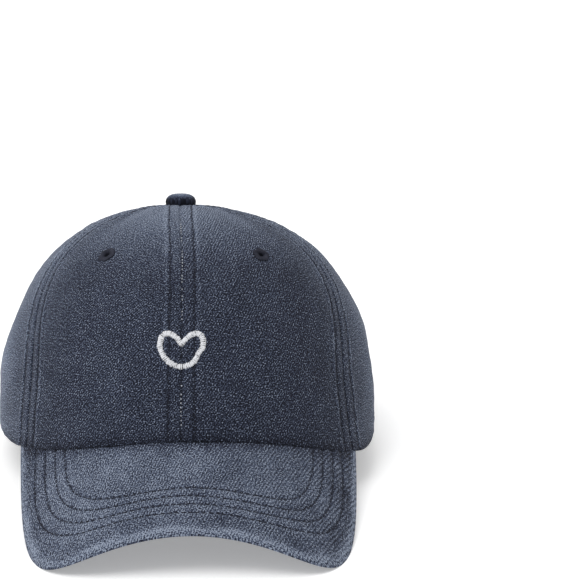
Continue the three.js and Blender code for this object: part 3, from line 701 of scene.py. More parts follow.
def stitches(name, lines, pitch, radius, cover=0.8, lift=0.1, skip=0.0, seed=1):
    """Rows of single stitches. Each line is its points and outward directions. A stitch is a short rounded
    rod: a ring of six points carried along cover of its pitch, thinner at both ends, which dip by an arch."""
    rings = np.linspace(-0.5, 0.5, 7)
    angles = np.linspace(0, FULL_TURN, 7)[:-1]
    every = []
    dice = np.random.default_rng(seed)
    for points, normals in lines:
        lengths = steps_along(points)
        count = max(int(lengths[-1] / pitch), 1)
        middles = (np.arange(count) + 0.5) * lengths[-1] / count + dice.normal(0, 0.05 * pitch, count)
        middles = middles[dice.uniform(size=count) >= skip]
        length = pitch * cover * dice.uniform(0.9, 1.08, len(middles))
        at = middles[:, None] + length[:, None] * rings
        base = np.stack([np.interp(at, lengths, column) for column in points.T], -1)
        up = unit(np.stack([np.interp(at, lengths, column) for column in normals.T], -1))
        ahead = unit(np.gradient(base, axis=1))
        side = np.cross(ahead, up)
        thick = radius * np.sqrt(np.maximum(1 - (2 * rings * 0.96) ** 4, 0.02))
        arch = lift + radius * 0.6 - (radius * 1.5 + lift) * (2 * rings) ** 4
        centre = base + up * arch[None, :, None]
        across = side[:, :, None] * np.cos(angles)[None, None, :, None]
        above = up[:, :, None] * np.sin(angles)[None, None, :, None]
        every.append(centre[:, :, None] + (across + above) * thick[None, :, None, None])
    rods = np.concatenate(every)
    many, along, round_count = rods.shape[:3]
    index = np.arange(along * round_count).reshape(along, round_count)
    beside = np.roll(index, -1, axis=1)
    cells = np.stack([index[:-1], beside[:-1], beside[1:], index[1:]], -1).reshape(-1, 4)
    first = np.arange(many)[:, None, None] * along * round_count
    quads = (cells[None] + first).reshape(-1, 4)
    ends = (np.stack([index[0, ::-1], index[-1]])[None] + first).reshape(-1, round_count)
    points = to_row(rods.reshape(-1, 3))
    uv = np.tile(np.stack(np.meshgrid(rings * pitch, angles, indexing="ij"), -1).reshape(-1, 2), (many, 1))
    faces = [quads, ends]
    return put_mesh(name, points, faces, point_uv(faces, uv))


def cloth_row(turn, way, slack):
    """A row on the crown's cloth, as its points and outward directions."""
    lift, _ = crown_detail(turn, way, slack)
    return lifted(turn, way, lift), skin_normal(turn, way)


def thread_size(thread):
    """The length of a stitch with its gap and the thread's radius, in millimetres."""
    return thread.length / MILLIMETRE, thread.radius / MILLIMETRE


def finish_piece(made, material, slot, *nodes):
    """Gives a piece its material and its body, and lets it stand for its CAD nodes. The slot is not used."""
    made.data.materials.append(material)
    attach(made, "root")
    if nodes:
        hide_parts(*nodes)


# Materials


class Wire:
    """A value on its way through a material: a node's output on which ordinary sums work."""

    def __init__(self, bench, socket):
        self.bench = bench
        self.socket = socket

    def __add__(self, other):
        return self.bench.maths("ADD", self, other)

    __radd__ = __add__

    def __sub__(self, other):
        return self.bench.maths("SUBTRACT", self, other)

    def __rsub__(self, other):
        return self.bench.maths("SUBTRACT", other, self)

    def __mul__(self, other):
        return self.bench.maths("MULTIPLY", self, other)

    __rmul__ = __mul__

    def __truediv__(self, other):
        return self.bench.maths("DIVIDE", self, other)

    def __rtruediv__(self, other):
        return self.bench.maths("DIVIDE", other, self)

    def __pow__(self, other):
        return self.bench.maths("POWER", self, other)

    def wave(self):
        """A sine of this value, moved to between 0 and 1."""
        return self.bench.maths("SINE", self) * 0.5 + 0.5

    def between(self, low, high):
        """0 at low, 1 at high, smoothly between them."""
        settings = {"interpolation_type": "SMOOTHSTEP"}
        sockets = {"Value": self, "From Min": low, "From Max": high}
        return self.bench.node("ShaderNodeMapRange", settings, sockets)


class Bench:
    """The nodes of one material."""

    def __init__(self, name):
        self.material = bpy.data.materials.new(name)
        self.material.use_nodes = True
        self.tree = self.material.node_tree
        self.tree.nodes.clear()

    def node(self, kind, settings=None, sockets=None, output=0):
        """Adds a node of that kind, sets its settings, then gives its sockets values or wires."""
        made = self.tree.nodes.new(kind)
        for key, value in (settings or {}).items():
            if key == "stops":
                ramp = made.color_ramp
                while len(ramp.elements) < len(value):
                    ramp.elements.new(0.5)
                for element, (place, colour) in zip(ramp.elements, value):
                    element.position = place
                    element.color = (*colour, 1.0)
            else:
                setattr(made, key, value)
        for key, value in (sockets or {}).items():
            if isinstance(value, Wire):
                self.tree.links.new(value.socket, made.inputs[key])
            else:
                made.inputs[key].default_value = value
        return Wire(self, made.outputs[output])

    def maths(self, operation, *values):
        """A Math node on one or two values."""
        return self.node("ShaderNodeMath", {"operation": operation}, dict(enumerate(values)))

    def noise(self, vector, size, detail=2.0, roughness=0.5):
        """Soft noise whose lumps are about size long in the vector's unit."""
        sockets = {"Vector": vector, "Scale": 1 / size, "Detail": detail, "Roughness": roughness}
        return self.node("ShaderNodeTexNoise", {"noise_dimensions": "3D"}, sockets)

    def surface(self, **inputs):
        """The shader and the output, joined. Names in the inputs have their spaces as underscores."""
        sockets = {key.replace("_", " "): value for key, value in inputs.items()}
        shader = self.node("ShaderNodeBsdfPrincipled", None, sockets)
        made = self.tree.nodes.new("ShaderNodeOutputMaterial")
        self.tree.links.new(shader.socket, made.inputs["Surface"])
        return self.material

    def cloth_place(self):
        """The place on the cloth in millimetres, as a vector and its two parts."""
        uv = self.node("ShaderNodeUVMap", {"uv_map": "cloth"})
        place = self.node("ShaderNodeVectorMath", {"operation": "SCALE"}, {0: uv, "Scale": 1000.0})
        u = self.node("ShaderNodeSeparateXYZ", None, {0: place}, 0)
        v = self.node("ShaderNodeSeparateXYZ", None, {0: place}, 1)
        return place, u, v

    def field(self, name):
        """A value stored on the piece's points."""
        return self.node("ShaderNodeAttribute", {"attribute_name": name}, None, 2)


def slanted(u, v, pitch, degrees):
    """Lines of a weave: a wave across lines at that slant, one for each pitch."""
    angle = math.radians(degrees)
    return ((u * -math.sin(angle) + v * math.cos(angle)) * (FULL_TURN / pitch)).wave()


def washed_twill(name, cloth, slant=58.0, pitch=1.0, grain=1.0, bump=0.5):
    """Washed twill. Its shade is the piece's own tone, with lighter yarns on the slanting lines, specks of
    single yarns and soft blotches, looked up on a ramp from deep navy to worn blue-grey."""
    bench = Bench(name)
    place, u, v = bench.cloth_place()
    pitch = cloth.twill / MILLIMETRE * pitch
    waver = bench.noise(place, 7.0) * 0.8
    lines = slanted(u + waver * 0.35, v, pitch, slant)
    yarns = slanted(u, v, pitch * 0.62, slant - 68)
    specks = bench.noise(place, 0.62, 0.5)
    flecks = bench.noise(place, 1.5, 2.0)
    blotches = bench.noise(place, 11.0, 3.0)
    lint = bench.noise(place, 1.3, 0.0).between(0.79, 0.84)
    weave = lines * 0.6 + yarns * 0.4
    strength = cloth.grain * grain
    tone = bench.field("tone") - 0.02
    tone = tone + (specks - 0.5) * (3.0 * strength) + (flecks - 0.5) * (0.3 * strength)
    tone = tone + (blotches - 0.5) * 0.16 + (weave - 0.5) * (0.6 * strength)
    tone = tone + specks.between(0.6, 0.76) * (0.12 * strength) + lint * 0.4
    stops = [(0.0, cloth.deep), (0.27, cloth.navy), (0.62, cloth.washed), (1.0, cloth.worn)]
    colour = bench.node("ShaderNodeValToRGB", {"stops": stops}, {"Fac": tone})
    height = weave * 0.6 + specks * 0.5
    sockets = {"Strength": bump, "Distance": 0.00035, "Height": height}
    normal = bench.node("ShaderNodeBump", None, sockets)
    return bench.surface(
        Base_Color=colour, Roughness=0.98 - weave * 0.12, Normal=normal,
        Specular_IOR_Level=0.12, Sheen_Weight=0.04, Sheen_Roughness=0.6,
    )


def twisted_thread(name, colour, spread=0.25):
    """Sewing thread: fine slanting twist lines, and a shade that varies slowly along it."""
    bench = Bench(name)
    _, u, v = bench.cloth_place()
    twist = slanted(u, v, 0.45, 40)
    rubbed = bench.noise(bench.node("ShaderNodeTexCoord", None, None, 3), 0.004, 2.0)
    pale = tuple(min(part * 2.6 + 0.02, 1.0) for part in colour)
    share = (rubbed - 0.45) * (2.2 * spread) + twist * (0.5 * spread)
    stops = [(0.0, tuple(colour)), (1.0, pale)]
    shade = bench.node("ShaderNodeValToRGB", {"stops": stops}, {"Fac": share})
    normal = bench.node("ShaderNodeBump", None, {"Strength": 0.4, "Distance": 0.0001, "Height": twist})
    rough = 0.75 - twist * 0.12
    return bench.surface(Base_Color=shade, Roughness=rough, Normal=normal, Specular_IOR_Level=0.3)


def satin_thread(name, colour):
    """Glossy white embroidery: single threads lie across the stroke, with darker gaps between them."""
    bench = Bench(name)
    place, u, v = bench.cloth_place()
    strands = slanted(u + bench.noise(place, 1.2) * 0.5, v, 0.9, 90)
    uneven = bench.noise(place, 1.5, 1.0)
    share = strands * 0.3 + uneven
    # The dark grey stop is painted shade in the gaps between the strands, and the top stop is a painted
    # highlight on their crests. The noise also shifts the shade at random.
    grey = tuple(part * 0.2 for part in colour)
    stops = [(0.38, grey), (0.6, tuple(colour)), (1.0, tuple(min(part * 1.2, 1) for part in colour))]
    shade = bench.node("ShaderNodeValToRGB", {"stops": stops}, {"Fac": share})
    normal = bench.node("ShaderNodeBump", None, {"Strength": 0.6, "Distance": 0.00015, "Height": strands})
    rough = 0.62 - strands * 0.15
    return bench.surface(Base_Color=shade, Roughness=rough, Normal=normal, Specular_IOR_Level=0.4)


def antique_brass(name, metal):
    """Dark cast brass, rubbed bright on its edges: the rubbed share comes from the piece and from noise."""
    bench = Bench(name)
    place = bench.node("ShaderNodeTexCoord", None, None, 3)
    cast = bench.noise(place, 0.0012, 4.0)
    smears = bench.noise(place, 0.005, 3.0)
    rub = (bench.field("tone") + (smears - 0.5) * 0.9 + (cast - 0.5) * 0.4).between(0.42, 0.95)
    half_way = tuple(0.5 * (dark + bright) for dark, bright in zip(metal.dark, metal.bright))
    stops = [(0.0, metal.dark), (0.55, half_way), (1.0, metal.bright)]
    shade = bench.node("ShaderNodeValToRGB", {"stops": stops}, {"Fac": rub})
    normal = bench.node("ShaderNodeBump", None, {"Strength": 0.25, "Distance": 0.0002, "Height": cast})
    return bench.surface(Base_Color=shade, Roughness=0.5 - rub * 0.2, Metallic=0.85, Normal=normal)


def pale_floor(name):
    """A plain pale floor with the faintest unevenness in its gloss."""
    bench = Bench(name)
    place = bench.node("ShaderNodeTexCoord", None, None, 3)
    rough = bench.noise(place, 0.05) * 0.1 + 0.85
    return bench.surface(
        Base_Color=(0.93, 0.93, 0.93, 1.0), Roughness=rough, Specular_IOR_Level=0.1,
        Emission_Color=(1.0, 1.0, 1.0, 1.0), Emission_Strength=0.3,
    )


# Pieces


class CAP_OT_panels(bpy.types.Operator):
    """Six panels of washed twill with grooved and stitched seams"""

    bl_idname = "cap.panels"
    bl_label = "Panels"

    def execute(self, context):
        cloth = context.scene.cap_cloth
        material = washed_twill("crown_twill", cloth, slant=52)
        hole = offset(hole_line(ARCH_TOP + 3, 90), BINDING_CUT)
        hole = np.vstack([hole[:1] - (0, 6), hole, hole[-1:] - (0, 6)])
        for panel in PANELS:
            self.panel(panel, material, cloth.slack / MILLIMETRE, hole)
        return {"FINISHED"}

    def panel(self, panel, material, slack, hole):
        """A wall on a grid of turn and way: the outer grid is the skin and its detail, the inner one lies a
        wall's thickness behind it with a tape over each seam, and cells within an opening are left out."""
        name, start, end, eyelet_turn, eyelet_way = panel
        rows, columns = 176, 108
        share = np.linspace(0, 1, columns + 1)
        edge = share - 0.55 * np.sin(FULL_TURN * share) / FULL_TURN
        turn = np.radians(start + (end - start) * edge)[None, :]
        rim = rim_way(turn)
        way = rim + (PANEL_TOP - rim) * np.linspace(0, 1, rows + 1)[:, None]
        turn = np.broadcast_to(turn, way.shape)
        base, normal = skin(turn, way), skin_normal(turn, way)
        lift, tone = crown_detail(turn, way, slack)
        away, place = seam_distance(turn, way), place_turn(turn, way)
        tape = 0.35 * (1 - smooth((away - 6.5) / 1.2)) - 0.2 * bell(away, 4.2, 0.5)
        front = base + normal * lift[..., None]
        back = base + normal * (foot_flare(place, way - rim) - CLOTH_WALL - tape)[..., None]
        middle_turn = 0.25 * (turn[:-1, :-1] + turn[1:, :-1] + turn[:-1, 1:] + turn[1:, 1:])
        middle_way = 0.25 * (way[:-1, :-1] + way[1:, :-1] + way[:-1, 1:] + way[1:, 1:])
        reach = reach_at(middle_way)
        middle = place_turn(middle_turn, middle_way)
        from_eyelet = (middle - place_turn(math.radians(eyelet_turn), eyelet_way)) * CROWN_ROUND * reach
        keep = (np.hypot(from_eyelet, middle_way - eyelet_way) > EYELET_CUT) | (eyelet_way == 0)
        if name.startswith("back"):
            x = CROWN_HALF_WIDTH * reach * np.sin(middle)
            keep &= beyond_arch(x, middle_way, BINDING_CUT) > 0
            keep &= ~inside_line(hole, x, middle_way)
        points, quads, used = shell(front, back, keep)
        centre = math.radians((start + end) / 2)
        flat = np.stack([(place - centre) * CROWN_ROUND * reach_at(way), way], -1).reshape(-1, 2)
        uv = np.concatenate([flat, flat + (INNER_SHIFT, 0)])[used]
        inner = 0.24 + 0.05 * (tape.ravel() > 0.2)
        tones = np.concatenate([tone.ravel(), inner])[used]
        made = put_mesh(name + "_panel", to_row(points), [quads], point_uv([quads], uv), {"tone": tones})
        finish_piece(made, material, "twill", "panel_" + name)


class CAP_OT_seam_stitches(bpy.types.Operator):
    """Rows of topstitching beside the seams, and the pale specks of thread in the front seam"""

    bl_idname = "cap.seam_stitches"
    bl_label = "Seam stitches"

    def execute(self, context):
        cloth, thread = context.scene.cap_cloth, context.scene.cap_thread
        slack = cloth.slack / MILLIMETRE
        lines = []
        for seam in (-120, -60, 0, 60, 120, 180):
            low = HOLE_TOP + HOLE_BINDING + 1 if seam == 180 else 3.0
            for side in (-1, 1):
                way = np.linspace(low, 160, 260)
                beside = side * seam_band(way) / (CROWN_ROUND * reach_at(way))
                turn = cloth_turn(place_turn(math.radians(seam), way) + beside, way)
                way = np.maximum(way, rim_way(turn) + 1.5)
                lines.append(cloth_row(turn, way, slack))
        navy = twisted_thread("navy_thread", thread.navy)
        pitch, radius = thread_size(thread)
        made = stitches("seam_topstitch", lines, pitch, radius * 0.8, lift=0.02)
        finish_piece(made, navy, "thread")
        lines = []
        for low, high in ((14, 34), (62, 128)):
            way = np.linspace(low, high, 160)
            turn = np.zeros_like(way) + 0.15 / CROWN_ROUND * np.sin(way / 5)
            lines.append(cloth_row(turn, way, slack))
        pale = twisted_thread("pale_thread", (0.34, 0.36, 0.42), spread=0.6)
        made = stitches("seam_specks", lines, 1.9, 0.24, cover=0.45, lift=0.16, skip=0.3, seed=4)
        finish_piece(made, pale, "white_thread")
        return {"FINISHED"}


class CAP_OT_eyelets(bpy.types.Operator):
    """Four sewn eyelets"""

    bl_idname = "cap.eyelets"
    bl_label = "Eyelets"

    def execute(self, context):
        material = twisted_thread("eyelet_thread", context.scene.cap_thread.navy, spread=0.9)
        for name, _, _, turn, way in PANELS:
            if way > 0:
                self.eyelet(name, math.radians(turn), way, material)
        return {"FINISHED"}

    def eyelet(self, name, turn, way, material):
        """A grommet of thread: its closed section, a bead outside, a throat and a bead inside, is carried
        round the hole, and its stitches swell it by the size of a sine."""
        section = np.array(
            [
                (4.1, 0.12), (4.0, 0.45), (3.6, 0.8), (3.0, 0.95), (2.4, 0.9), (1.8, 0.6), (1.4, 0.2),
                (1.25, -0.3), (1.3, -1.2), (1.6, -1.9), (2.2, -2.35), (3.0, -2.5), (3.7, -2.25), (3.9, -1.9),
                (3.85, -1.62), (3.0, -1.6), (2.6, -1.3), (2.6, -0.2), (2.95, 0.05), (3.6, 0.06),
            ]
        )
        count = 240
        angle = np.linspace(0, FULL_TURN, count, endpoint=False)
        swell = np.abs(np.sin(angle * 13 + 1.1 * np.sin(3 * angle) + turn))[:, None]
        middle = np.array([2.7, -0.7])
        outwards = unit(section - middle)
        rough = 1 + 0.06 * np.sin(angle * 5 + 1.3 + turn)[:, None] + 0.05 * np.sin(angle * 2 + turn)[:, None]
        radius = section[:, 0] * rough + outwards[:, 0] * 0.3 * (swell - 0.5)
        height = section[:, 1] + outwards[:, 1] * 0.22 * (swell - 0.5)
        out = skin_normal(turn, way)
        side = unit(np.cross((0, 0, 1), out))
        up = np.cross(out, side)
        across = np.cos(angle)[:, None, None] * side + np.sin(angle)[:, None, None] * up
        grid = skin(turn, way) + radius[..., None] * across + height[..., None] * out
        around = np.arange(len(section) + 1) * 0.6
        points, faces, uv = loft(to_row(grid), np.arange(count + 1) * 0.08, around, ring=True)
        made = put_mesh(name + "_eyelet", points, faces, uv)
        finish_piece(made, material, "thread", "eyelet_" + name)


class CAP_OT_button(bpy.types.Operator):
    """The covered button on its shank"""

    bl_idname = "cap.button"
    bl_label = "Button"

    def execute(self, context):
        """A flattened dome, widest a little above its base: its radius is a power of cosine and its height a
        multiple of sine. It is gathered into small pleats where the cover turns under, above its shank."""
        base, widest, count = CROWN_HEIGHT + TOP_RISE + FIT_GAP - 0.5, 2.0, 96
        angle = np.linspace(math.pi / 2 - 0.01, -0.35, 34)
        radius = BUTTON_RADIUS * np.abs(np.cos(angle)) ** 0.72
        height = base + widest + (BUTTON_HEIGHT - widest) * np.sin(angle)
        height = np.where(angle < 0, base + widest + 5.0 * np.sin(angle), height)
        under = np.array(
            [(5.6, base + 0.25), (3.2, base + 0.2), (SHANK_RADIUS, base), (SHANK_RADIUS, base - 2)]
        )
        radius = np.concatenate([radius, under[:, 0]])[:, None]
        height = np.concatenate([height, under[:, 1]])[:, None]
        round_way = np.linspace(0, FULL_TURN, count, endpoint=False)[None, :]
        low = smooth((base + 3.2 - height) / 2.6) * (radius > 4)
        pleat = 1 + 0.012 * low * np.sin(round_way * 14 + 0.7 * np.sin(3 * round_way))
        lump = 1 + 0.012 * np.sin(2 * round_way + 0.4) + 0.008 * np.sin(5 * round_way)
        x = radius * pleat * lump * np.cos(round_way) + CROWN_LEAN
        y = radius * pleat * lump * np.sin(round_way)
        z = height + 0.06 * np.sin(4 * round_way) * (radius > 5) - TOP_SLOPE * y
        grid = np.stack([x, y, np.broadcast_to(z, x.shape)], -1)
        # Painted highlight: the cover is lighter toward the top of the dome. Painted shade darkens it toward
        # the bottom, in the pleats where it turns under.
        tone = 0.14 + 0.62 * smooth((height - base - 2.8) / 3.2) + 0.03 * ripple(x, y, 5, 31)
        tone = tone - 0.08 * low + 0.03 * low * np.sin(round_way * 14)
        points, faces, _ = loft(to_row(grid), np.arange(len(height) + 1), np.arange(count + 1))
        flat = np.stack([x, y], -1).reshape(-1, 2)
        made = put_mesh("covered_button", points, faces, point_uv(faces, flat), {"tone": tone})
        material = washed_twill("button_twill_cloth", context.scene.cap_cloth, slant=40, grain=0.35, bump=0.3)
        finish_piece(made, material, "button_twill", "button")
        return {"FINISHED"}


def peak_row(row, x, y):
    """How far a spot lies outside a row of stitching: a rounded arch by powers, scaled by its slope."""
    half, depth = row
    across, up = np.abs(x) / half, np.maximum(PEAK_ROW_MIDDLE - y, 0) / depth
    n = PEAK_ROW_ROUNDNESS
    share = np.maximum(across**n + up**n, 1e-6) ** (1 / n)
    slope = np.hypot((across / share) ** (n - 1) / half, (up / share) ** (n - 1) / depth)
    return (share - 1) / np.maximum(slope, 1e-4)


class CAP_OT_peak(bpy.types.Operator):
    """The curved peak with its rolled edge and its four rows of stitching"""

    bl_idname = "cap.peak"
    bl_label = "Peak"

    def execute(self, context):
        cloth, thread = context.scene.cap_cloth, context.scene.cap_thread
        self.plate(washed_twill("peak_twill_cloth", cloth, slant=66, pitch=1.15, bump=0.7))
        navy = twisted_thread("peak_thread", thread.navy)
        pitch, radius = thread_size(thread)
        made = stitches("peak_topstitch", self.rows(), pitch, radius * 1.05, cover=0.78, lift=0.05, seed=7)
        finish_piece(made, navy, "thread")
        pale = twisted_thread("peak_rubs", (0.17, 0.19, 0.25), spread=0.5)
        made = stitches(
            "peak_rubbed_gaps", self.rows(), pitch, radius * 0.75, cover=0.16, lift=0.22, skip=0.45, seed=7
        )
        finish_piece(made, pale, "thread")
        return {"FINISHED"}

    def outline(self, count):
        """The outer edge from left to right: a Bezier line and its mirror image."""
        half = bezier(
            [
                (-PEAK_HALF_WIDTH, -PEAK_START),
                (-PEAK_FORWARD_HALF_WIDTH, -PEAK_START - 1.02 * (PEAK_REACH - PEAK_START)),
                (-0.88 * PEAK_HALF_WIDTH, -PEAK_REACH),
                (0, -PEAK_REACH),
            ],
            300,
        )
        return resample(mirrored(half), count)

    def relief(self, x, y):
        """Height and shade of the top: a shallow channel along each row, cloth puffed up between the rows,
        soft waves, and paler cloth in blotches."""
        lift = 0.22 * ripple(x, y, 40, 41) + 0.05 * ripple(x, y, 8, 43)
        # Painted light from the left: the peak is lighter toward the left and darker toward the right. It is
        # also darker toward both sides.
        tone = 0.53 + 0.05 * ripple(x, y, 30, 47) + 0.04 * ripple(x, y, 11, 49) - 0.07 * smooth((x + 30) / 90)
        tone = tone + 0.05 * smooth((-20 - x) / 50) - 0.16 * smooth((np.abs(x) - 58) / 18)
        for row in PEAK_ROWS:
            away = peak_row(row, x, y)
            ahead = smooth((-54 - y) / 6)
            lift = lift + ahead * (0.16 * bell(away, 1.9, 1.3) + 0.16 * bell(away, -1.9, 1.3))
            lift = lift - 0.42 * ahead * bell(away, 0, 0.62)
            tone = tone + ahead * (0.05 * bell(away, 1.5, 0.9) + 0.04 * bell(away, -1.5, 0.9))
            tone = tone - 0.13 * ahead * bell(away, 0, 0.55)
        # Painted shadow on the peak along the crown's foot, darkest against the wall.
        wall = np.hypot(x / CROWN_HALF_WIDTH, y / CROWN_FRONT_REACH) - 1
        return lift, tone - 0.3 * np.exp(-np.maximum(wall * 95 - FOOT_FLARE, 0) / 2.6)

    def rows(self):
        """The four rows on the cloth's surface, from one side of the crown round to the other."""
        lines = []
        angle = np.linspace(-math.pi / 2 + 0.02, math.pi / 2 - 0.02, 500)
        power = 2 / PEAK_ROW_ROUNDNESS
        for half, depth in PEAK_ROWS:
            x = half * signed_power(np.sin(angle), power)
            y = PEAK_ROW_MIDDLE - depth * np.abs(np.cos(angle)) ** power
            flat = resample(np.stack([x, y], -1), 500)
            x, y = flat[:, 0], flat[:, 1]
            lift, _ = self.relief(x, y)
            slope_x = -(x / PEAK_BEND_RADIUS + 4 * x**3 / (PEAK_BEND_SPREAD * PEAK_BEND_RADIUS**3))
            normal = unit(np.stack([-slope_x, np.full_like(x, -PEAK_SLOPE), np.ones_like(x)], -1))
            lines.append((np.stack([x, y, peak_top(x, y) + lift], -1), normal))
        return lines

    def plate(self, material):
        """Across each of many stations the section runs over the top, round the rolled edge by half a
        circle, and back underneath. The inner edge is an oval within the crown's wall."""
        stations = 430
        outer = self.outline(stations)
        ahead = unit(np.gradient(outer, axis=0))
        out = np.stack([ahead[:, 1], -ahead[:, 0]], -1)[:, None, :]
        start = math.asin(PEAK_HALF_WIDTH / CROWN_HALF_WIDTH)
        turn = np.linspace(-start, start, stations)
        inset = CLOTH_WALL + PEAK_TUCK
        inner = np.stack(
            [(CROWN_HALF_WIDTH - inset) * np.sin(turn), -(CROWN_FRONT_REACH - inset) * np.cos(turn)], -1
        )[:, None, :]
        roll = PEAK_THICKNESS / 2
        rim = outer[:, None, :] - out * roll
        over = np.concatenate([np.linspace(0, 0.42, 24, endpoint=False), np.linspace(0.42, 1, 86)])
        over = over[None, :, None]
        under = np.linspace(1, 0, 34)[None, 1:, None]
        bend = np.radians(np.linspace(90, -90, 11))[None, 1:, None]
        top_plan = inner + (rim - inner) * over
        edge_plan = rim + out * roll * np.cos(bend)
        under_plan = inner + (rim - inner) * under
        plan = np.concatenate([top_plan, edge_plan, under_plan], 1)
        x, y = plan[..., 0], plan[..., 1]
        tops, edges = top_plan.shape[1], edge_plan.shape[1]
        lift, tone = self.relief(x, y)
        fade_out = smooth((np.linalg.norm(plan - outer[:, None, :], axis=-1) - 1.6) / 3)
        drop = np.zeros_like(x)
        drop[:, :tops] = (lift * fade_out)[:, :tops]
        drop[:, tops : tops + edges] = (roll * np.sin(bend[..., 0]) - roll) * np.ones_like(x[:, :edges])
        drop[:, tops + edges :] = -PEAK_THICKNESS - 0.05 * ripple(x, y, 9, 53)[:, tops + edges :]
        from_edge = np.linalg.norm(plan - outer[:, None, :], axis=-1)
        rubbed = 0.75 + 0.35 * ripple(x, y, 22, 59)
        tone = tone - 0.05 * smooth((12 - from_edge) / 4) + 0.44 * rubbed * bell(from_edge, 1.2, 2.2)
        tone[:, tops : tops + edges] = np.linspace(0.78, 0.34, edges)[None, :]
        tone[:, tops + edges :] = 0.34
        grid = np.stack([x, y, peak_top(x, y) + drop], -1)
        points, faces, _ = loft(to_row(grid), np.arange(stations + 1), np.arange(plan.shape[1] + 1))
        flat = np.stack([x, y + 0.6 * drop], -1).reshape(-1, 2)
        made = put_mesh("peak_cloth", points, faces, point_uv(faces, flat), {"tone": tone})
        finish_piece(made, material, "peak_twill", "peak")


class CAP_OT_heart(bpy.types.Operator):
    """The outline heart in satin stitch"""

    bl_idname = "cap.heart"
    bl_label = "Heart"

    def execute(self, context):
        """A rounded stroke carried round a heart of Bezier lines. Strands lie across it: a fine wave along
        the stroke lifts each strand, and the strands' ends reach unevenly far. Bells of the height draw the
        flanks in, the right one more."""
        w, h = HEART_HALF_WIDTH, HEART_HALF_HEIGHT
        half = np.vstack(
            [
                bezier([(0, 0.37 * h), (-0.3 * w, 0.9 * h), (-0.5 * w, h), (-0.68 * w, h)], 80),
                bezier([(-0.68 * w, h), (-0.92 * w, h), (-w, 0.6 * h), (-w, 0.28 * h)], 80)[1:],
                bezier([(-w, 0.28 * h), (-w, -0.4 * h), (-0.5 * w, -h), (0, -h)], 80)[1:],
            ]
        )
        count = 900
        line = resample(mirrored(half), count + 1)[:-1]
        x, y = line[:, 0], line[:, 1]
        drawn_in = 1.4 * smooth(x / 5) * bell(y, -2.0, 3.6) - 0.4 * smooth(-x / 5) * bell(y, -3.6, 3)
        line = np.stack([x - drawn_in, y + 0.3 * bell(y, -9, 4)], -1)
        ahead = unit(np.roll(line, -3, axis=0) - np.roll(line, 3, axis=0))
        side = np.stack([-ahead[:, 1], ahead[:, 0]], -1)
        length = steps_along(np.vstack([line, line[:1]]))
        at = length[:-1, None]
        strand = np.abs(np.sin(math.pi * at / HEART_STRAND)) ** 0.7
        dice = np.random.default_rng(5)
        ends = dice.uniform(-1, 1, (2, int(length[-1] / HEART_STRAND) + 2))
        which = (at[:, 0] / HEART_STRAND).astype(int)
        corners = 18
        angle = np.linspace(0, FULL_TURN, corners, endpoint=False)[None, :]
        reach = np.cos(angle)
        uneven = np.where(reach > 0, ends[0][which][:, None], ends[1][which][:, None])
        half_stroke = HEART_STROKE / 2 * (0.93 + 0.17 * uneven + 0.1 * strand)
        across = half_stroke * signed_power(reach, 0.8)
        up = np.sin(angle)
        lift = 0.12 + np.where(up > 0, (0.9 + 0.34 * (strand - 0.5)) * np.abs(up) ** 0.8, -0.1 * np.abs(up))
        place = line[:, None, :] + side[:, None, :] * across[..., None]
        way = HEART_WAY + place[..., 1]
        grid = lifted(front_turn(place[..., 0], way), way, lift)
        points, faces, uv = loft(to_row(grid), length, np.arange(corners + 1) * 0.35, ring=True)
        made = put_mesh("satin_heart", points, faces, uv)
        material = satin_thread("satin_white", context.scene.cap_thread.white)
        finish_piece(made, material, "white_thread", "embroidered_heart")
        return {"FINISHED"}


def binding_section(width):
    """The closed section of a folded binding, as distances out from the opening's edge and lifts off the
    skin: a stitched ridge at its outer edge, a channel, a soft dome, the fold round the cut edge, and the
    same again inside, then back along its hidden face. Last comes the tone of each point."""
    out = np.linspace(1, 0, 26)
    cross = out * width
    dome = 0.75 + 0.75 * (1 - (2 * np.clip((cross - 0.2) / (width - 2.2), 0, 1) - 1) ** 2) ** 0.5
    outer = dome - 0.45 * bell(cross, width - 1.9, 0.5) + 0.5 * bell(cross, width - 0.7, 0.55)
    outer = outer * np.clip((width - cross) / 0.5 + 0.35, 0, 1)
    tone = 0.28 + 0.55 * bell(cross, width - 0.6, 0.5) - 0.14 * bell(cross, width - 1.8, 0.6)
    tone = tone + 0.16 * bell(cross, 0.0, 1.0)
    bend = np.radians(np.linspace(80, -80, 9))
    fold = np.stack([-1.5 * np.cos(bend), -CLOTH_WALL / 2 + 1.55 * np.sin(bend)], -1)
    inner = -CLOTH_WALL - 0.85 - 0.25 * bell(cross[::-1], width * 0.5, width * 0.4)
    hidden = np.linspace(0, 1, 4)
    parts = [
        np.stack([cross, outer], -1),
        fold,
        np.stack([cross[::-1], inner], -1),
        np.stack([(1 - hidden[1:]) * (width - 0.3), np.full(len(hidden) - 1, -CLOTH_WALL - 0.25)], -1),
        np.stack([hidden * (width - 0.3), np.full(len(hidden), 0.05)], -1),
    ]
    plain = [np.full(len(part), shade) for part, shade in zip(parts[1:], (0.5, 0.3, 0.2, 0.2))]
    return np.concatenate(parts), np.concatenate([tone, *plain])


def squeeze(x, way, tucked):
    """The share of a binding's lift that is left: less where a tucked one runs under the half-moon's."""
    beyond = beyond_arch(x, way, ARCH_BINDING) + 0.6
    return 0.28 + 0.72 * smooth(beyond / 3.2) if tucked else np.ones_like(x)


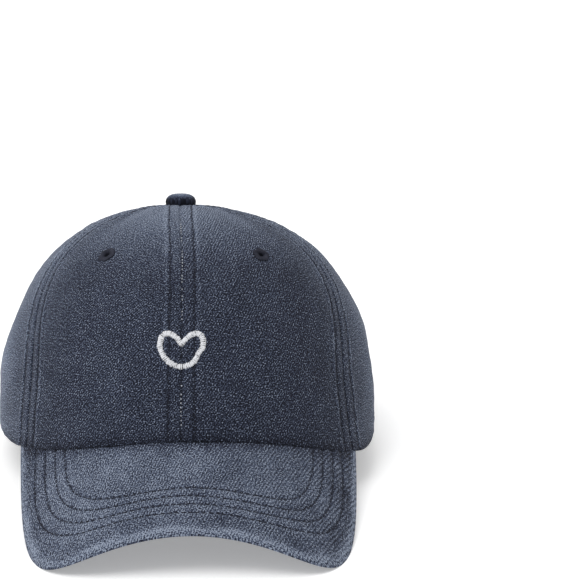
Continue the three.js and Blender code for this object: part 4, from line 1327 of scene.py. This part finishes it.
def carry_binding(line, width, tucked, seed):
    """The binding's section carried along an opening's edge. It is squeezed where it is tucked under, and
    small gathers lift it along the fold."""
    section, tone = binding_section(width)
    spots = np.stack([offset(line, np.full(len(line), cross)) for cross, _ in section], 1)
    x, way = spots[..., 0], spots[..., 1]
    length = steps_along(line)[:, None]
    lift = np.broadcast_to(section[:, 1], x.shape)
    outer = lift > 0.1
    cross = section[:, 0]
    gather = ripple(length * np.ones_like(cross), cross * 0.35, 6.5, seed)
    gather = gather * bell(cross, width * 0.42, width * 0.36)
    ticks = 0.1 * np.sin(FULL_TURN * length / 2.6) * bell(cross, width - 1.4, 0.9)
    lift = np.where(outer, lift * squeeze(x, way, tucked) + 0.13 * gather + ticks, lift)
    grid = back_point(x, way, lift)
    shade = tone + 0.11 * gather + 0.09 * ripple(length * np.ones_like(cross), cross, 12, seed + 1)
    rub = 0.10 * ripple(length * np.ones_like(cross), cross * 0, 9, seed + 2) * bell(cross, width - 0.75, 0.9)
    around = np.concatenate([[0], np.cumsum(np.hypot(*np.diff(section, axis=0).T)), [0]])
    around[-1] = around[-2] + 0.3
    return grid, shade + rub, length[:, 0], around


class CAP_OT_bindings(bpy.types.Operator):
    """The cloth folded round the half-moon and round the ponytail hole"""

    bl_idname = "cap.bindings"
    bl_label = "Bindings"

    def execute(self, context):
        cloth, thread = context.scene.cap_cloth, context.scene.cap_thread
        material = washed_twill("binding_twill_cloth", cloth, slant=45, pitch=1.2, grain=0.85, bump=0.6)
        navy = twisted_thread("binding_thread", thread.navy, spread=0.6)
        pitch, radius = thread_size(thread)
        arch = arch_line(330)
        hole = hole_line(ARCH_TOP + 4.5, 420)
        jobs = (
            ("arch", arch, ARCH_BINDING, False, "arch_binding", 61),
            ("ponytail", hole, HOLE_BINDING, True, "ponytail_binding", 71),
        )
        lines = []
        for name, line, width, tucked, node, seed in jobs:
            grid, tone, lengthways, around = carry_binding(line, width, tucked, seed)
            points, faces, uv = loft(to_row(grid), np.append(lengthways, 0), around)
            made = put_mesh(name + "_edge_cloth", points, faces, uv, {"tone": tone})
            finish_piece(made, material, "binding_twill", node)
            stitched = offset(line, np.full(len(line), width - 2.0))[6:-6]
            x, way = stitched[:, 0], stitched[:, 1]
            lift = 0.72 * squeeze(x, way, tucked)
            clear = (beyond_arch(x, way, ARCH_BINDING) > 0.3) | (not tucked)
            lines.append((back_point(x, way, lift)[clear], skin_normal(back_turn(x, way), way)[clear]))
        pitch, radius = pitch * 0.85, radius * 0.85
        made = stitches("binding_topstitch", lines, pitch, radius, cover=0.75, lift=0.04, seed=12)
        finish_piece(made, navy, "thread")
        return {"FINISHED"}


# Lifts of the straps' middle lines off the wall of the back, under a binding and behind and over a bar
LAYER = STRAP_THICKNESS + FIT_GAP
UNDER_BINDING = -CLOTH_WALL - BINDING_DEPTH - FIT_GAP - STRAP_THICKNESS / 2
BEHIND_BAR = -BUCKLE_THICKNESS / 2 - FIT_GAP - STRAP_THICKNESS / 2
OVER_BAR = BUCKLE_THICKNESS / 2 + FIT_GAP + STRAP_THICKNESS / 2

# The buckle's end bars: how far they lie from its middle, how far the wall falls away behind them as it
# bends, and their distance measured sideways
BAR_AWAY = (BUCKLE_LENGTH - BUCKLE_BAR) / 2
BAR_RISE = BAR_AWAY**2 / (2 * CROWN_HALF_WIDTH**2 / CROWN_REAR_REACH)
BAR_REACH = BAR_AWAY * math.cos(BUCKLE_AT / CROWN_HALF_WIDTH)


def strap_long_stops():
    """Distance from the middle toward the buckle's side, lift off the wall and height of the long strap's
    middle line."""
    inner, outer = BUCKLE_AT - BAR_REACH, BUCKLE_AT + BAR_REACH
    tail = UNDER_BINDING - LAYER
    behind, over = BEHIND_BAR + BUCKLE_LIFT + BAR_RISE, OVER_BAR + BUCKLE_LIFT
    m = STRAP_MIDDLE
    return [
        (-ARCH_HALF_WIDTH - STRAP_TUCK, UNDER_BINDING, m),
        (-ARCH_HALF_WIDTH + 2, UNDER_BINDING - 0.3, m),
        (-ARCH_HALF_WIDTH / 2, -STRAP_INSET / 2, m),
        (0, behind, m),
        (inner, behind, m),
        (inner + BUCKLE_BAR, behind + 0.3, m),
        (BUCKLE_AT - 0.6 * BUCKLE_BAR, over + 0.2, m),
        (BUCKLE_AT + 0.6 * BUCKLE_BAR, over + 0.2, m),
        (outer - 1.5 * BUCKLE_BAR, behind - 0.6 * LAYER, m),
        (outer, behind - LAYER - 0.6, m),
        (ARCH_HALF_WIDTH - 5, tail - 0.5, m),
        (ARCH_HALF_WIDTH + STRAP_TUCK, tail - 0.5, m),
    ]


def strap_tab_stops():
    """The same for the tab: from under the foot, round the buckle's outer bar and back behind it."""
    bar = BUCKLE_AT + BAR_REACH
    clear = 2 * FIT_GAP + STRAP_THICKNESS / 2
    turned = BUCKLE_BAR / 2 + clear + BUCKLE_TURN * STRAP_TAB_WIDTH / 2
    over, behind = OVER_BAR + BUCKLE_LIFT + BAR_RISE, BEHIND_BAR + BUCKLE_LIFT + BAR_RISE
    m = STRAP_MIDDLE
    return [
        (ARCH_HALF_WIDTH + STRAP_TUCK, UNDER_BINDING, m + 1.5),
        (ARCH_HALF_WIDTH - 2.6, UNDER_BINDING - 0.5, m + 1.2),
        (bar + turned + 0.9, -clear, m + 0.4),
        (bar + turned, over - 0.3, m + 0.1),
        (bar, over + 0.3, m),
        (bar - 0.5 * BUCKLE_BAR, over + 0.3, m),
        (bar - turned, behind + 0.75 * (over - behind), m),
        (bar - turned, behind + 0.25 * (over - behind), m),
        (bar - 0.5 * BUCKLE_BAR, behind - 0.2, m),
        (bar + 0.3 * BUCKLE_BAR, behind - 0.2, m),
    ]


class CAP_OT_straps(bpy.types.Operator):
    """The long strap and the short tab"""

    bl_idname = "cap.straps"
    bl_label = "Straps"

    def execute(self, context):
        cloth, thread = context.scene.cap_cloth, context.scene.cap_thread
        material = washed_twill("strap_twill_cloth", cloth, slant=48, pitch=1.0, grain=0.7, bump=0.5)
        jobs = (
            ("long_strap", strap_long_stops()[::BUCKLE_SIDE], STRAP_WIDTH, 0.10, "strap_long", 83),
            ("short_strap_tab", strap_tab_stops()[::-BUCKLE_SIDE], STRAP_TAB_WIDTH, 0.2, "strap_short", 89),
        )
        lines = []
        for name, stops, width, crease, node, seed in jobs:
            lines += self.strap(name, stops, width, crease, node, seed, material)
        pale = twisted_thread("strap_thread", (0.045, 0.052, 0.075), spread=0.8)
        pitch, _ = thread_size(thread)
        made = stitches("strap_topstitch", lines, pitch * 0.8, 0.2, cover=0.72, lift=0.02, seed=21)
        finish_piece(made, pale, "thread")
        return {"FINISHED"}

    def strap(self, name, stops, width, crease, node, seed, material):
        """A ribbon carried along a smooth line: across it the face has two stitched ridges at a quarter and
        three quarters of its width, rounded selvedges, and creases that fade out toward the edges."""
        count = 280
        line = smooth_line(stops, count) * (BUCKLE_SIDE, 1, 1)
        ahead = unit(np.gradient(line[:, :2], axis=0))
        square = np.stack([-ahead[:, 1], ahead[:, 0]], -1)
        face = 0.5 * np.sin(np.linspace(-math.pi / 2, math.pi / 2, 41))
        spread = np.concatenate([face, face[-2:0:-1]])
        side = np.concatenate([np.ones(len(face)), -np.ones(len(face) - 2)])
        round_off = np.sqrt(np.maximum(1 - np.abs(2 * spread) ** 12, 0))
        length = steps_along(line)[:, None]
        rows = bell(np.abs(spread), 0.27, 0.035)
        beside = bell(np.abs(spread), 0.215, 0.02) + bell(np.abs(spread), 0.325, 0.02)
        fine = ripple(length, spread * width * 0.5, 7.0, seed) * (1 - (2 * spread) ** 4)
        bulk = STRAP_THICKNESS / 2 * round_off + (0.10 * rows - 0.07 * beside) * round_off
        bulk = side * (bulk + crease * fine * 0.5 * round_off)
        x = line[:, :1] + square[:, :1] * bulk
        lift = line[:, 1:2] + square[:, 1:2] * bulk
        way = line[:, 2:3] + spread * width + 0.25 * ripple(length, 0 * spread, 21, seed + 3)
        grid = back_point(x, way, lift)
        tone = 0.19 + 0.22 * rows - 0.05 * beside + 0.22 * bell(np.abs(spread), 0.485, 0.02)
        tone = tone + 0.10 * fine + 0.05 * ripple(length, spread * width, 15, seed + 5)
        around = np.concatenate([[0], np.cumsum(np.abs(np.diff(spread)) * width), [2 * width]])
        points, faces, uv = loft(to_row(grid), np.append(length[:, 0], 0), around)
        made = put_mesh(name, points, faces, uv, {"tone": tone})
        finish_piece(made, material, "strap_twill", node)
        lines = []
        for share in (-0.27, 0.27):
            outer = STRAP_THICKNESS / 2 + 0.08
            sx = line[:, 0] + square[:, 0] * outer
            slift = line[:, 1] + square[:, 1] * outer
            sway = line[:, 2] + share * width + 0.25 * ripple(length[:, 0], 0, 21, seed + 3)
            row = back_point(sx, sway, slift)
            inner = back_point(line[:, 0], sway, line[:, 1])
            lines.append((row[8:-8], unit(row - inner)[8:-8]))
        return lines


class CAP_OT_buckle(bpy.types.Operator):
    """The slide buckle of antique brass"""

    bl_idname = "cap.buckle"
    bl_label = "Buckle"

    def execute(self, context):
        """A rounded oblong section carried round a rounded oblong frame, and the same section up the
        middle bar. The corners of the section are the rubbed ones."""
        corners, stations, bar_stations = 24, 240, 40
        angle = np.linspace(0, FULL_TURN, corners, endpoint=False)
        wide = signed_power(np.cos(angle), 0.62) * BUCKLE_BAR / 2
        high = signed_power(np.sin(angle), 0.62) * BUCKLE_THICKNESS / 2
        corner = np.abs(np.sin(2 * angle)) ** 3
        round_way = np.linspace(0, FULL_TURN, stations, endpoint=False)
        half_x, half_y = BAR_AWAY, (BUCKLE_HEIGHT - BUCKLE_BAR) / 2
        across, up = signed_power(np.cos(round_way), 0.22), signed_power(np.sin(round_way), 0.22)
        frame_line = np.stack([half_x * across, half_y * up], -1)
        frame_line = resample(np.vstack([frame_line, frame_line[:1]]), stations + 1)[:-1]
        ahead = unit(np.roll(frame_line, -2, axis=0) - np.roll(frame_line, 2, axis=0))
        out = np.stack([ahead[:, 1], -ahead[:, 0]], -1)
        plan = frame_line[:, None, :] + out[:, None, :] * wide[None, :, None]
        dent = 0.05 * ripple(plan[..., 0], plan[..., 1], 4, 97)
        ring = np.concatenate([plan, (high[None, :] * (1 + dent))[..., None]], -1)
        bar_y = np.linspace(-half_y, half_y, bar_stations)[:, None]
        slim = 0.92 + 0.1 * np.abs(bar_y / half_y) ** 6
        bar_dent = 0.05 * ripple(wide + 0 * bar_y, bar_y, 4, 99)
        bar = np.stack([wide * slim, bar_y + 0 * wide, high * slim * (1 + bar_dent)], -1)
        turn = float(back_turn(BUCKLE_SIDE * BUCKLE_AT, STRAP_MIDDLE))
        normal = skin_normal(turn, STRAP_MIDDLE)
        side = -unit(np.cross((0, 0, 1), normal))
        up = np.cross(normal, side)
        place = lifted(turn, STRAP_MIDDLE, BUCKLE_LIFT)
        c, s = math.cos(BUCKLE_TURN), BUCKLE_SIDE * math.sin(BUCKLE_TURN)

        def stand(grid):
            """Points of the buckle's own frame, turned and set on the wall."""
            x, y, z = grid[..., :1], grid[..., 1:2], grid[..., 2:]
            return place + side * (x * c - y * s) + up * (x * s + y * c) + normal * z

        around = np.arange(corners + 1) * 0.3
        points, faces, uv = loft(to_row(stand(ring)), np.arange(stations + 1) * 0.3, around, ring=True)
        more, bar_faces, bar_uv = loft(to_row(stand(bar)), np.arange(bar_stations + 1) * 0.5, around)
        if outward(points, faces) != outward(more, bar_faces):
            bar_faces = [group[:, ::-1] for group in bar_faces]
            bar_uv = [group[:, ::-1] for group in bar_uv]
        bar_faces = [group + len(points) for group in bar_faces]
        tone = np.concatenate([np.tile(corner, stations), np.tile(corner * 0.6, bar_stations)]) * 0.85
        points = np.vstack([points, more])
        made = put_mesh("slide_buckle", points, faces + bar_faces, uv + bar_uv, {"tone": tone})
        material = antique_brass("antique_brass_cast", context.scene.cap_metal)
        finish_piece(made, material, "antique_brass", "buckle")
        return {"FINISHED"}


class CAP_OT_stage(bpy.types.Operator):
    """The pale floor, the soft lights and the camera"""

    bl_idname = "cap.stage"
    bl_label = "Stage"

    def execute(self, context):
        scene = context.scene
        size = 6.0
        mesh = bpy.data.meshes.new("floor")
        corners = [(-size, -size, 0), (size, -size, 0), (size, size, 0), (-size, size, 0)]
        mesh.from_pydata(corners, [], [(0, 1, 2, 3)])
        floor = bpy.data.objects.new("floor", mesh)
        scene.collection.objects.link(floor)
        floor.data.materials.append(pale_floor("pale_floor"))
        world = bpy.data.worlds.new("studio")
        world.use_nodes = True
        sky = world.node_tree.nodes["Background"]
        sky.inputs["Color"].default_value = (1.0, 1.0, 1.0, 1.0)
        sky.inputs["Strength"].default_value = 0.45
        scene.world = world
        scene.view_settings.view_transform = "Standard"
        key = self.lamp("key", "SUN", (-0.45, -0.55, 1.5), 1.3)
        key.angle = math.radians(34)
        boxes = (("left", (-0.9, -0.5, 0.8), 0.7, 3.2), ("top", (0.25, 0.2, 1.3), 0.9, 3.6))
        for name, place, size, power in boxes:
            soft = self.lamp(name, "AREA", place, power)
            soft.shape = "SQUARE"
            soft.size = size
        self.camera(scene)
        return {"FINISHED"}

    def lamp(self, name, kind, place, power):
        """A light of that kind that looks from its place toward the origin. Returns its settings."""
        data = bpy.data.lights.new(name, kind)
        data.energy = power
        made = bpy.data.objects.new(name, data)
        made.location = place
        made.rotation_euler = Vector(place).to_track_quat("Z", "Y").to_euler()
        bpy.context.scene.collection.objects.link(made)
        return data

    def camera(self, scene):
        """Stands 1.5 m from the crown at the photograph's angle, and looks past it to the picture's
        middle."""
        azimuth, elevation, distance = math.radians(0.5), math.radians(21.4), 1.5
        ahead = Vector(
            (
                math.sin(azimuth) * math.cos(elevation),
                math.cos(azimuth) * math.cos(elevation),
                -math.sin(elevation),
            )
        )
        right = Vector((math.cos(azimuth), -math.sin(azimuth), 0))
        up = right.cross(ahead)
        crown = Vector((0.0, 0.0256, 0.040))
        place = crown - ahead * distance
        look = (crown + right * 0.04797 + up * 0.04092 - place).normalized()
        right = (right - look * right.dot(look)).normalized()
        up = right.cross(look)
        data = bpy.data.cameras.new("camera")
        data.sensor_width = 36
        data.lens = 188.4
        data.clip_start, data.clip_end = 0.05, 50
        made = bpy.data.objects.new("camera", data)
        scene.collection.objects.link(made)
        columns = Matrix((right, up, -look)).transposed().to_4x4()
        made.matrix_world = Matrix.Translation(place) @ columns
        scene.camera = made


class CAP_PT_panel(bpy.types.Panel):
    """The cap's pieces, sizes and colours"""

    bl_idname = "CAP_PT_panel"
    bl_label = "Ponytail cap"
    bl_space_type = "VIEW_3D"
    bl_region_type = "UI"
    bl_category = "Cap"

    def draw(self, context):
        """A box for each group of settings, then a button for each operator."""
        for group in (context.scene.cap_cloth, context.scene.cap_thread, context.scene.cap_metal):
            box = self.layout.box()
            for name in group.bl_rna.properties.keys():
                if name not in {"rna_type", "name"}:
                    box.prop(group, name)
        for operator in OPERATORS:
            self.layout.operator(operator.bl_idname)


GROUPS = {"cap_cloth": CapCloth, "cap_thread": CapThread, "cap_metal": CapMetal}
OPERATORS = (
    CAP_OT_stage,
    CAP_OT_panels,
    CAP_OT_seam_stitches,
    CAP_OT_eyelets,
    CAP_OT_button,
    CAP_OT_peak,
    CAP_OT_heart,
    CAP_OT_bindings,
    CAP_OT_straps,
    CAP_OT_buckle,
)


def register():
    """Makes the property groups, the operators and the panel known, and gives each scene its settings."""
    for group in GROUPS.values():
        bpy.utils.register_class(group)
    for name, group in GROUPS.items():
        setattr(bpy.types.Scene, name, bpy.props.PointerProperty(type=group))
    for operator in OPERATORS:
        bpy.utils.register_class(operator)
    bpy.utils.register_class(CAP_PT_panel)


def unregister():
    """Takes all of it back, in the opposite order."""
    bpy.utils.unregister_class(CAP_PT_panel)
    for operator in reversed(OPERATORS):
        bpy.utils.unregister_class(operator)
    for name, group in GROUPS.items():
        delattr(bpy.types.Scene, name)
        bpy.utils.unregister_class(group)


def main():
    """Makes the settings and operators known, then makes every piece by its operator."""
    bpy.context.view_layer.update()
    register()
    bpy.ops.cap.stage()
    bpy.ops.cap.panels()
    bpy.ops.cap.seam_stitches()
    bpy.ops.cap.eyelets()
    bpy.ops.cap.button()
    bpy.ops.cap.peak()
    bpy.ops.cap.heart()
    bpy.ops.cap.bindings()
    bpy.ops.cap.straps()
    bpy.ops.cap.buckle()


if __name__ == "__main__":
    main()
